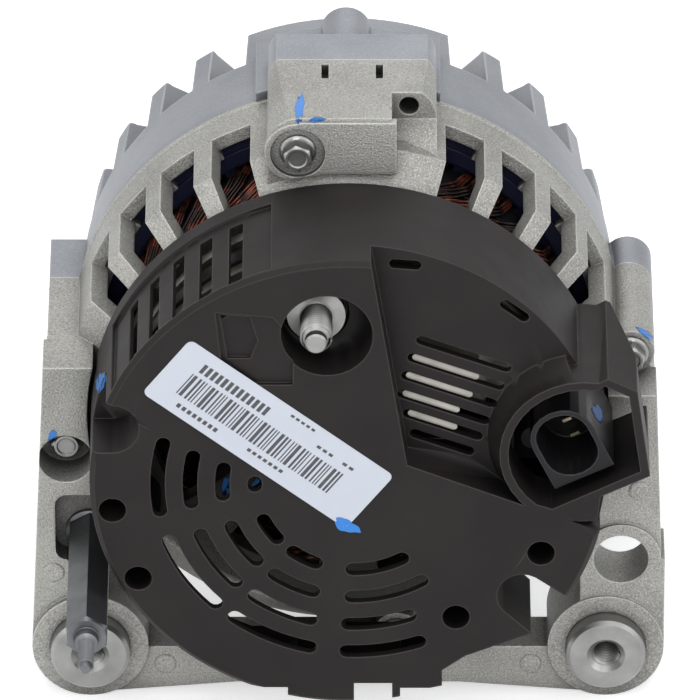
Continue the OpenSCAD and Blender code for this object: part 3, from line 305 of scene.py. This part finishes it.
looks = {
    "rear_casting": castAluminium("rearCasting", rearCastingLook),
    "front_casting": castAluminium("frontCasting", frontCastingLook),
    "cover_plastic": mouldedPlastic("coverPlastic", (0.0105, 0.0088, 0.0085),
                                    (0.0160, 0.0135, 0.0130), 0.55),
    "black_plastic": mouldedPlastic("blackPlastic", (0.008, 0.008, 0.009),
                                    (0.014, 0.014, 0.016), 0.33),
    "steel": turnedSteel("platedSteel", (0.33, 0.33, 0.32)),
    "lamination": plainSatin("coreSheets", (0.004, 0.006, 0.026), 0.4, 0.2),
    "copper": copperWire("enamelledCopper", (0.26, 0.062, 0.032), (0.016, 0.008, 0.007)),
    "blue_insulation": plainSatin("blueInsulation", (0.004, 0.0055, 0.024), 0.4),
    "bobbin_plastic": plainSatin("bobbinPlastic", (0.5, 0.42, 0.25), 0.45),
    "pole_iron": turnedSteel("poleIron", (0.2, 0.19, 0.18), 0.45),
    "carbon": plainSatin("brushCarbon", (0.03, 0.03, 0.032), 0.5),
    "sink_aluminium": turnedSteel("sinkAluminium", (0.40, 0.385, 0.35), 0.4),
    "pulley_steel": plainSatin("pulleyCoating", (0.03, 0.03, 0.032), 0.35, 0.3),
    "pin_metal": turnedSteel("pinMetal", (0.3, 0.26, 0.18), 0.3),
}
for subpart in frame["record"]["subparts"]:
    node = nodes[subpart["node"]]
    node.data.materials.clear()
    node.data.materials.append(looks[subpart["material_slot"]])
print("materials set")

mergeGap = 0.000002  # m


def selectOnly(*pieces):
    if bpy.context.mode != "OBJECT":
        bpy.ops.object.mode_set(mode="OBJECT")
    bpy.ops.object.select_all(action="DESELECT")
    for piece in pieces:
        piece.select_set(True)
    if pieces:
        bpy.context.view_layer.objects.active = pieces[0]


def settle(piece, angle=35):
    # place into the mesh, outward faces, smooth across gentle angles
    selectOnly(piece)
    bpy.ops.object.transform_apply(location=True, rotation=True, scale=True)
    bpy.ops.object.mode_set(mode="EDIT")
    bpy.ops.mesh.select_all(action="SELECT")
    bpy.ops.mesh.remove_doubles(threshold=mergeGap)
    bpy.ops.mesh.normals_make_consistent(inside=False)
    bpy.ops.object.mode_set(mode="OBJECT")
    bpy.ops.object.shade_smooth_by_angle(angle=math.radians(angle))
    return piece


def dress(piece, name, look, body, slotName, *replaced):
    piece.name = name
    piece.data.name = name
    piece.data.materials.clear()
    piece.data.materials.append(look)
    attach(piece, body)
    if replaced:
        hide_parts(*replaced)
    return piece


def turned(place, profile, sides=48, cap=True):
    # a body of revolution: a disc at the first radius, extruded and scaled along the shaft
    selectOnly()
    before = profile[0]
    bpy.ops.mesh.primitive_circle_add(vertices=sides, radius=before[0] / 1000,
                                      fill_type="NGON" if cap else "NOTHING",
                                      location=rowPoint(*place, before[1]),
                                      rotation=(math.pi / 2, 0, 0))
    piece = bpy.context.object
    bpy.ops.object.mode_set(mode="EDIT")
    bpy.ops.mesh.select_all(action="SELECT")
    for radius, depth in profile[1:]:
        step = (0, -(depth - before[1]) / 1000, 0)
        bpy.ops.mesh.extrude_region_move(TRANSFORM_OT_translate={"value": step})
        grow = radius / before[0]
        bpy.ops.transform.resize(value=(grow, 1, grow), center_override=rowPoint(*place, depth))
        before = (radius, depth)
    bpy.ops.object.mode_set(mode="OBJECT")
    return piece


def prism(outline, low, high):
    # a flat outline in bench mm, pushed from low to high along the shaft
    selectOnly()
    bpy.ops.mesh.primitive_circle_add(vertices=len(outline), radius=0.01, fill_type="NGON")
    piece = bpy.context.object
    for vertex, (x, y) in zip(piece.data.vertices, outline):
        vertex.co = rowPoint(x, y, low)
    bpy.ops.object.mode_set(mode="EDIT")
    bpy.ops.mesh.select_all(action="SELECT")
    step = (0, -(high - low) / 1000, 0)
    bpy.ops.mesh.extrude_region_move(TRANSFORM_OT_translate={"value": step})
    bpy.ops.object.mode_set(mode="OBJECT")
    return piece


def addBevel(piece, width):
    settle(piece)
    rounding = piece.modifiers.new("rounding", "BEVEL")
    rounding.width = width / 1000
    rounding.segments = 2
    rounding.limit_method = "ANGLE"
    rounding.angle_limit = math.radians(40)
    bpy.ops.object.modifier_apply(modifier="rounding")


def joined(pieces):
    selectOnly(*pieces)
    if len(pieces) > 1:
        bpy.ops.object.join()
    return bpy.context.object


def copyTo(pattern, x=0.0, y=0.0, depth=0.0, turn=0.0):
    # a copy with its own mesh, turned about the shaft in degrees and then moved in bench mm
    twin = pattern.copy()
    twin.data = pattern.data.copy()
    scene.collection.objects.link(twin)
    shaft = rowPoint(0, 0, 0)
    about = Matrix.Rotation(-math.radians(turn), 4, "Y")
    there = Matrix.Translation(shaft + Vector((x, -depth, y)) / 1000)
    twin.data.transform(there @ about @ Matrix.Translation(-shaft))
    return twin


def arcPoints(mid, radius, start, stop, count):
    turns = [math.radians(start + (stop - start) * k / count) for k in range(count + 1)]
    return [(mid[0] + radius * math.cos(a), mid[1] + radius * math.sin(a)) for a in turns]


def roundedBox(mid, width, height, radius, tilt=0.0):
    corners = []
    for cx, cy, start in ((1, 1, 0), (-1, 1, 90), (-1, -1, 180), (1, -1, 270)):
        centre = (cx * (width / 2 - radius), cy * (height / 2 - radius))
        corners += arcPoints(centre, radius, start, start + 90, 4)
    c, s = math.cos(math.radians(tilt)), math.sin(math.radians(tilt))
    return [(mid[0] + x * c - y * s, mid[1] + x * s + y * c) for x, y in corners]


# foot and crown of the rear and front loops in bench mm, radii in mm, angles in degrees
windingShape = {"bundles": 36, "wires": 6, "wireRadius": 0.42, "steps": 9, "pitchAngle": 34.0,
                "firstAngle": 5.0, "wireShift": 0.7, "rowShift": 1.035, "fullness": 0.55,
                "layerLift": 0.95, "layerSink": 0.05, "layerGrow": 0.35,
                "rear": (-38.6, -21.6), "front": (-67.4, -80.5), "middle": 54.3, "spread": 2.6,
                "shadeRingInner": 52.4, "shadeRingOuter": 56.2, "shadeRingReach": 0.65}


def wirePath(curve, shape, foot, crown, layer):
    steps = shape["steps"]
    spline = curve.splines.new("POLY")
    spline.points.add(steps)
    start = shape["firstAngle"] + layer * shape["wireShift"]
    lift = (layer % 3) * shape["layerLift"]
    shift = (layer // 3 - 1) * shape["rowShift"]
    for k in range(steps + 1):
        t = k / steps
        angle = math.radians(start + shape["pitchAngle"] * t + shift)
        rise = math.sin(math.pi * t) ** shape["fullness"]
        depth = foot + (crown - foot) * rise * (1 - shape["layerSink"] * lift)
        r = (shape["middle"] + shape["spread"] * math.cos(math.pi * t)
             + lift * shape["layerGrow"])
        spline.points[k].co = (*rowPoint(r * math.cos(angle), r * math.sin(angle), depth), 1)


def makeWinding(shape):
    # one bundle of wires, copied round the shaft
    curve = bpy.data.curves.new("bundle", "CURVE")
    curve.dimensions = "3D"
    curve.bevel_depth = shape["wireRadius"] / 1000
    curve.bevel_resolution = 1
    curve.use_fill_caps = True
    for foot, crown in (shape["rear"], shape["front"]):
        for layer in range(shape["wires"]):
            wirePath(curve, shape, foot, crown, layer)
    wires = bpy.data.objects.new("bundle", curve)
    scene.collection.objects.link(wires)
    selectOnly(wires)
    bpy.ops.object.convert(target="MESH")
    bundle = settle(bpy.context.object, 70)
    between = 360 / shape["bundles"]
    copies = [copyTo(bundle, turn=between * k) for k in range(1, shape["bundles"])]
    dress(joined([bundle] + copies), "endTurns", looks["copper"], "housing", "copper",
          "stator_winding")
    # painted shade: a black ring behind the wires, standing in for the shade deep in the end turns
    inner, outer, reach = shape["shadeRingInner"], shape["shadeRingOuter"], shape["shadeRingReach"]
    for label in ("rear", "front"):
        foot, crown = shape[label]
        far = foot * (1 - reach) + crown * reach
        shadeRing = turned((0, 0), [(inner, foot), (outer, foot), (outer, far), (inner, far),
                                (inner, foot)], 72, cap=False)
        # black ring of painted shade
        dress(settle(shadeRing), label + "TurnHeart", looks["black_plastic"], "housing",
              "black_plastic")


makeWinding(windingShape)
print("winding made")


def threadRidge(place, low, high, crest, root, pitch):
    # one tooth profile, turned and lifted round the axis by a screw modifier, ends closed
    selectOnly()
    bpy.ops.mesh.primitive_circle_add(vertices=3, radius=0.001, fill_type="NOTHING")
    tooth = bpy.context.object
    profile = [(root, pitch * 0.03), (crest, pitch * 0.5), (root, pitch * 0.97)]
    for vertex, (r, z) in zip(tooth.data.vertices, profile):
        vertex.co = (r / 1000, 0, z / 1000)
    turns = tooth.modifiers.new("turns", "SCREW")
    turns.axis = "Z"
    turns.angle = math.tau
    turns.screw_offset = pitch / 1000
    turns.iterations = max(1, int((high - low) / pitch) - 1)
    turns.steps = turns.render_steps = 36
    turns.use_merge_vertices = True
    bpy.ops.object.modifier_apply(modifier="turns")
    bpy.ops.object.mode_set(mode="EDIT")
    bpy.ops.mesh.select_all(action="SELECT")
    bpy.ops.mesh.fill_holes(sides=3)
    bpy.ops.object.mode_set(mode="OBJECT")
    tooth.rotation_euler = (math.pi / 2, 0, 0)
    tooth.location = rowPoint(*place, low)
    return settle(tooth, 30)


def cutFlats(piece, place, flats, low, high, turn):
    # rings between two depths keep their size only inside a hexagon across flats
    settle(piece, 30)
    for vertex in piece.data.vertices:
        depth = -vertex.co.y * 1000 - faceToMiddle
        x, y = vertex.co.x * 1000 - place[0], vertex.co.z * 1000 - shaftHeight - place[1]
        r = math.hypot(x, y)
        if low - 0.001 <= depth <= high + 0.001 and r > 0.01:
            side = (math.degrees(math.atan2(y, x)) - turn) % 60 - 30
            keep = min(1.0, flats / 2 / math.cos(math.radians(side)) / r)
            vertex.co.x = (place[0] + x * keep) / 1000
            vertex.co.z = (place[1] + y * keep + shaftHeight) / 1000
    return settle(piece, 30)


# seat and end are depths in bench mm, the rest radii and pitch in mm
studShape = {"place": (-7.8, 43.3), "foot": 9.0, "seat": 20.0, "flange": 7.4, "root": 3.55,
             "crest": 4.0, "pitch": 1.0, "tip": 2.75, "end": 36.0}


def makeStud(shape):
    seat, flange, end, crest = shape["seat"], shape["flange"], shape["end"], shape["crest"]
    core = turned(shape["place"], [
        (crest, shape["foot"]), (crest, seat), (flange - 0.2, seat), (flange, seat + 0.2),
        (flange, seat + 1.8), (flange - 0.2, seat + 2.0), (4.3, seat + 2.0), (3.6, seat + 2.3),
        (shape["root"], end - 3.2), (3.0, end - 2.6), (shape["tip"], end - 2.4),
        (shape["tip"], end - 0.5), (2.3, end)])
    ridge = threadRidge(shape["place"], seat + 2.6, end - 2.2, crest, shape["root"] - 0.02,
                        shape["pitch"])
    dress(joined([settle(core, 30), ridge]), "terminalStud", looks["steel"], "housing", "steel",
          "output_stud")


makeStud(studShape)

# circle is the radius of the bolt circle, start and turns are in degrees
boltShape = {"count": 4, "circle": 71.5, "start": 10.0, "shank": 2.5, "far": -59.5,
             "seat": -12.0, "flats": 6.5, "flange": 4.5, "firstTurn": 15.0, "nextTurn": 22.5}


def makeBolts(shape):
    # one flange bolt on the shaft axis, copied to the four bosses
    corner = shape["flats"] / math.sqrt(3)
    seat, flange, shank = shape["seat"], shape["flange"], shape["shank"]
    bolt = turned((0, 0), [
        (shank, shape["far"]), (shank, seat), (flange, seat), (flange, seat + 0.6),
        (flange - 0.5, seat + 1.1), (corner, seat + 1.2), (corner, seat + 4.1),
        (corner - 0.75, seat + 4.6), (2.4, seat + 4.6), (2.1, seat + 4.3), (0.6, seat + 4.25)])
    cutFlats(bolt, (0, 0), shape["flats"], seat + 1.2, seat + 4.6, shape["firstTurn"])
    copies = []
    for k in range(shape["count"]):
        angle = math.radians(shape["start"] + 360 / shape["count"] * k)
        copies.append(copyTo(bolt, shape["circle"] * math.cos(angle),
                             shape["circle"] * math.sin(angle), turn=shape["nextTurn"] * k))
    bpy.data.objects.remove(bolt)
    dress(joined(copies), "flangeBolts", looks["steel"], "housing", "steel", "through_bolts")


makeBolts(boltShape)

# base, end and tip are depths in bench mm
spacerShape = {"place": (-64.7, -37.0), "flats": 10.0, "base": -8.0, "end": 43.0, "pin": 2.0,
               "pinRoot": 1.72, "pitch": 0.7, "tip": 57.8, "color": (0.175, 0.18, 0.19),
               "roughness": 0.42}


def makeSpacer(shape):
    corner = shape["flats"] / math.sqrt(3)
    base, end, tip, root = shape["base"], shape["end"], shape["tip"], shape["pinRoot"]
    post = turned(shape["place"], [
        (2.5, base - 6.5), (2.5, base), (corner + 0.3, base), (corner + 0.3, base + 1.2),
        (corner, base + 1.5), (corner, end - 0.9), (4.9, end), (3.1, end), (2.9, end + 0.3),
        (2.8, end + 2.4), (1.9, end + 3.0), (root, end + 3.2), (root, tip - 1.0), (1.2, tip)])
    cutFlats(post, shape["place"], shape["flats"], base + 1.5, end, 30)
    ridge = threadRidge(shape["place"], end + 3.2, tip - 0.7, shape["pin"], root - 0.02,
                        shape["pitch"])
    steel = turnedSteel("spacerSteel", shape["color"], shape["roughness"])
    dress(joined([post, ridge]), "spacerPost", steel, "housing", "steel", "spacer_stud")


makeSpacer(spacerShape)

# each sleeve: its place, the body that it rides on and the node that it stands for
sleeveShape = {"outer": 9.95, "rear": 4.8, "length": 24.0, "bore": 3.55, "mouth": 4.85,
               "crest": 3.0, "pitch": 1.25, "sleeves": {
                   "leftSleeve": ((-64.8, -66.6), "left_sliding_bush", "left_bush"),
                   "rightSleeve": ((64.8, -66.6), "right_sliding_bush", "right_bush")}}


def makeSleeves(shape):
    # one threaded sleeve on the shaft axis, copied to both ears
    rear, outer, bore = shape["rear"], shape["outer"], shape["bore"]
    front = rear - shape["length"]
    shell = turned((0, 0), [
        (bore, front), (outer - 0.4, front), (outer, front + 0.4), (outer, rear - 0.9),
        (outer - 0.9, rear), (shape["mouth"], rear), (bore, rear - 1.3), (bore, front)], cap=False)
    ridge = threadRidge((0, 0), front + 0.5, rear - 1.0, shape["crest"], bore + 0.02,
                        shape["pitch"])
    sleeve = joined([settle(shell, 30), ridge])
    for name, (place, body, node) in shape["sleeves"].items():
        dress(copyTo(sleeve, *place), name, looks["steel"], body, "steel", node)
    bpy.data.objects.remove(sleeve)


makeSleeves(sleeveShape)
print("fasteners made")

# bench mm; bars are (left, right, low, high) on the label, from its middle
labelShape = {"mid": (-19.6, 14.8), "width": 63.6, "height": 19.4, "corner": 1.6, "tilt": -38.1,
              "face": 31.3, "thickness": 0.12, "barStart": -25.3, "barCount": 44,
              "barWidths": (0.32, 0.62, 0.32, 0.9, 0.45), "barGaps": (0.42, 0.75, 0.5),
              "barSpan": (-4.5, 2.4), "dashPitch": 1.6, "dashShare": 0.62,
              "dashes": [(-24.5, -3.5, 3.6, 6.4), (1.0, 9.0, 7.5, 8.2),
                         (-23.0, -10.0, -7.6, -6.4), (-1.5, 10.0, -6.9, -6.0),
                         (11.5, 17.0, 4.4, 5.2), (19.5, 23.5, 4.4, 5.2)]}


def labelPaper():
    f = Finish("labelPaper")
    tone = f.mix(f.noise(60.0), (0.52, 0.55, 0.62), (0.58, 0.61, 0.67))
    return f.finish(tone, 0.35, 0.0, f.bump(f.noise(500.0), 0.00002, 0.5))


def labelInk():
    f = Finish("labelInk")
    return f.finish(f.mix(f.noise(700.0), (0.03, 0.03, 0.035), (0.09, 0.09, 0.1)), 0.5)


def labelBars(shape):
    # generic marks: upright bars of four widths, and rows of short dashes
    rows = []
    u = shape["barStart"]
    for k in range(shape["barCount"]):
        width = shape["barWidths"][k * 3 % 5]
        rows.append((u, u + width, *shape["barSpan"]))
        u += width + shape["barGaps"][k % 3]
    for left, right, low, high in shape["dashes"]:
        count = max(1, round((right - left) / shape["dashPitch"]))
        for k in range(count):
            start = left + (right - left) * k / count
            rows.append((start, start + shape["dashShare"] * (right - left) / count, low, high))
    return rows


def layBar(pattern, shape, left, right, low, high):
    # a copy of the bar of 1 x 1 mm, stretched and laid on the tilted label
    bar = copyTo(pattern)
    tilt = math.radians(shape["tilt"])
    c, s = math.cos(tilt), math.sin(tilt)
    for vertex in bar.data.vertices:
        u = left + vertex.co.x * 1000 * (right - left)
        v = low + (vertex.co.z * 1000 - shaftHeight) * (high - low)
        vertex.co.x = (shape["mid"][0] + u * c - v * s) / 1000
        vertex.co.z = (shape["mid"][1] + u * s + v * c + shaftHeight) / 1000
    return bar


def makeLabel(shape):
    face = shape["face"]
    outline = roundedBox(shape["mid"], shape["width"], shape["height"], shape["corner"],
                         shape["tilt"])
    sheet = prism(outline, face - 0.02, face + shape["thickness"])
    addBevel(sheet, 0.04)
    dress(settle(sheet, 30), "labelSheet", labelPaper(), "housing", "")
    pattern = prism([(0, 0), (1, 0), (1, 1), (0, 1)], face + 0.1, face + 0.15)
    marks = joined([layBar(pattern, shape, *row) for row in labelBars(shape)])
    bpy.data.objects.remove(pattern)
    dress(settle(marks, 30), "labelBars", labelInk(), "housing", "")


makeLabel(labelShape)
print("label made")

# outlines in bench mm, and how deep the recess and its step go below the cover's face
recessShape = {"rim": [(-32.5, 49.6), (-18.5, 48.2), (-13.2, 41.5), (-13.6, 29.0), (-30.5, 29.0)],
               "step": [(-31.3, 48.4), (-24.0, 47.8), (-22.2, 41.0), (-24.0, 36.0), (-29.6, 36.0)],
               "face": 31.3, "rimDepth": 1.1, "stepDepth": 1.9}


def makeCover(shape):
    # a merged copy of the cover's solid, with the stepped recess beside the label cut in
    cover = nodes["rear_cover"].copy()
    cover.data = nodes["rear_cover"].data.copy()
    scene.collection.objects.link(cover)
    cover.parent = None
    selectOnly(cover)
    bpy.ops.object.mode_set(mode="EDIT")
    bpy.ops.mesh.select_all(action="SELECT")
    bpy.ops.mesh.remove_doubles(threshold=mergeGap)
    bpy.ops.object.mode_set(mode="OBJECT")
    for part in ("rim", "step"):
        tool = settle(prism(shape[part], shape["face"] - shape[part + "Depth"],
                            shape["face"] + 1))
        selectOnly(cover)
        cut = cover.modifiers.new("recess", "BOOLEAN")
        cut.operation = "DIFFERENCE"
        cut.solver = "EXACT"
        cut.object = tool
        bpy.ops.object.modifier_apply(modifier="recess")
        bpy.data.objects.remove(tool)
    bpy.ops.object.shade_smooth_by_angle(angle=math.radians(11))
    even = cover.modifiers.new("evenNormals", "WEIGHTED_NORMAL")
    even.keep_sharp = True
    even.weight = 80
    bpy.ops.object.modifier_apply(modifier="evenNormals")
    dress(cover, "slottedCover", looks["cover_plastic"], "housing", "cover_plastic",
          "rear_cover")


makeCover(recessShape)
print("cover made")


def cameraRay(px, py):
    # a ray of the photograph's camera through a pixel of the picture
    across = cameraLook["lens"] * cameraLook["picture"] / cameraLook["sensor"]
    middle = cameraLook["picture"] / 2
    turn = scene.camera.rotation_euler.to_matrix()
    direction = turn @ Vector(((px - middle) / across, (middle - py) / across, -1.0))
    return scene.camera.location.copy(), direction.normalized()


def firstHit(px, py, targets):
    start, direction = cameraRay(px, py)
    best = None
    for target in targets:
        struck, place, _, _ = target.ray_cast(start, direction)
        if struck and (best is None or (place - start).length < (best - start).length):
            best = place
    return best


# witness discs of the ejector pins on the rear bracket's face, in bench mm
discShape = {"places": ((-73.8, -45.8), (-46.0, -72.8), (46.0, -72.8), (72.8, -21.8)),
             "radius": 2.7, "probeFrom": 60}


def makeDiscs(shape):
    # one disc with a shallow groove round it, copied to where the bracket's face is met
    radius = shape["radius"]
    disc = settle(turned((0, 0), [(radius, -0.4), (radius, 0.12), (radius - 0.25, 0.3),
                                  (radius - 0.5, 0.34), (0.8, 0.3)], 32), 30)
    copies = []
    for x, y in shape["places"]:
        start = rowPoint(x, y, shape["probeFrom"])
        struck, where, _, _ = nodes["rear_bracket"].ray_cast(start, Vector((0, 1, 0)))
        if struck:
            copies.append(copyTo(disc, x, y, -where.y * 1000 - faceToMiddle))
    bpy.data.objects.remove(disc)
    dress(joined(copies), "castingDiscs", looks["rear_casting"], "housing", "rear_casting")


makeDiscs(discShape)

bluePaint = plainSatin("bluePaint", (0.03, 0.23, 0.70), 0.4)
dabLook = {"lift": 0.00007, "across": 10, "down": 8, "reach": 0.022}  # m and grid squares
# each dab: its middle in the picture, half length, half width and tilt in pixels
paintDabs = {
    "labelDab": (347, 526, 13.5, 6.0, -22),
    "blockDabTall": (299.5, 109, 15.0, 4.2, 84),
    "blockDabShort": (317, 119.5, 8.0, 2.6, 8),
    "leftBoltDab": (52, 436, 6.5, 3.2, 60),
    "rightBoltDab": (646, 334, 11.0, 3.0, -38),
    "coverEdgeDab": (100.5, 382, 10.0, 5.0, 75),
    "slotDabLong": (226, 488, 11.0, 4.0, 80),
    "slotDabRound": (258, 484, 6.5, 5.0, 20),
    "hoodDab": (598, 413, 9.5, 5.0, -68),
}


def makeDab(name, px, py, long, wide, tilt, targets):
    # a grid laid on what carries the paint, then given its thickness
    c, s = math.cos(math.radians(tilt)), math.sin(math.radians(tilt))
    middle = firstHit(px, py, targets)
    lift = -cameraRay(px, py)[1] * dabLook["lift"]
    selectOnly()
    bpy.ops.mesh.primitive_grid_add(x_subdivisions=dabLook["across"],
                                    y_subdivisions=dabLook["down"], size=2)
    dab = bpy.context.object
    for vertex in dab.data.vertices:
        a, b = vertex.co.x, vertex.co.y
        turn = math.atan2(b, a)
        rough = 1 + 0.13 * math.sin(3 * turn + len(name)) + 0.07 * math.sin(7 * turn)
        u = long * rough * a * math.sqrt(1 - b * b / 2)
        v = wide * rough * b * math.sqrt(1 - a * a / 2)
        spot = firstHit(px + u * c + v * s, py - u * s + v * c, targets) or middle
        if (spot - middle).length > dabLook["reach"]:
            spot = middle
        vertex.co = spot + lift
    bpy.ops.object.mode_set(mode="EDIT")
    bpy.ops.mesh.select_all(action="SELECT")
    bpy.ops.mesh.extrude_region_move(TRANSFORM_OT_translate={"value": lift * 0.5})
    bpy.ops.object.mode_set(mode="OBJECT")
    dress(settle(dab, 40), name, bluePaint, "housing", "")


paintTargets = [nodes[n] for n in ("rear_bracket", "front_bracket", "negative_heat_sink",
                                   "regulator")]
paintTargets += [bpy.data.objects[n] for n in ("flangeBolts", "labelSheet", "slottedCover")]
for dabName, dabRow in paintDabs.items():
    makeDab(dabName, *dabRow, paintTargets)
print("paint made")


def backgroundRay(tree):
    # 1 for rays that see the background straight, in metal or through glass
    path = tree.nodes.new("ShaderNodeLightPath")
    total = path.outputs["Is Camera Ray"]
    for name in ("Is Glossy Ray", "Is Transmission Ray"):
        both = tree.nodes.new("ShaderNodeMath")
        both.operation = "ADD"
        both.use_clamp = True
        tree.links.new(total, both.inputs[0])
        tree.links.new(path.outputs[name], both.inputs[1])
        total = both.outputs[0]
    return total


stageLook = {"floorSize": 8, "floorTone": 0.8, "floorGlow": 0.55, "skyTint": (0.9, 0.93, 0.97),
             "skyLight": 0.4, "backdrop": 1.0}


def addFloor(look):
    f = Finish("paleFloor")
    f.finish((look["floorTone"],) * 3, 0.9)
    glow = f.add("ShaderNodeEmission")
    glow.inputs["Color"].default_value = (1, 1, 1, 1)
    share = f.add("ShaderNodeMath", operation="MULTIPLY")
    f.link(backgroundRay(f.tree), share.inputs[0])
    share.inputs[1].default_value = look["floorGlow"]
    f.link(share.outputs[0], glow.inputs["Strength"])
    both = f.add("ShaderNodeAddShader")
    f.link(f.shader.outputs["BSDF"], both.inputs[0])
    f.link(glow.outputs[0], both.inputs[1])
    f.link(both.outputs[0], f.output.inputs["Surface"])
    selectOnly()
    bpy.ops.mesh.primitive_plane_add(size=look["floorSize"], location=(0, 0, 0))
    floor = bpy.context.object
    floor.name = "floor"
    floor.data.materials.append(f.material)


def addWorld(look):
    world = bpy.data.worlds.new("studio")
    scene.world = world
    world.use_nodes = True
    tree = world.node_tree
    tree.nodes.clear()
    blend = tree.nodes.new("ShaderNodeMixShader")
    tree.links.new(backgroundRay(tree), blend.inputs["Fac"])
    skies = ((1, look["skyTint"], look["skyLight"]), (2, (1, 1, 1), look["backdrop"]))
    for socket, tint, strength in skies:
        sky = tree.nodes.new("ShaderNodeBackground")
        sky.inputs["Color"].default_value = (*tint, 1)
        sky.inputs["Strength"].default_value = strength
        tree.links.new(sky.outputs[0], blend.inputs[socket])
    out = tree.nodes.new("ShaderNodeOutputWorld")
    tree.links.new(blend.outputs[0], out.inputs["Surface"])


addFloor(stageLook)
addWorld(stageLook)
scene.view_settings.view_transform = "Standard"
print("stage set")
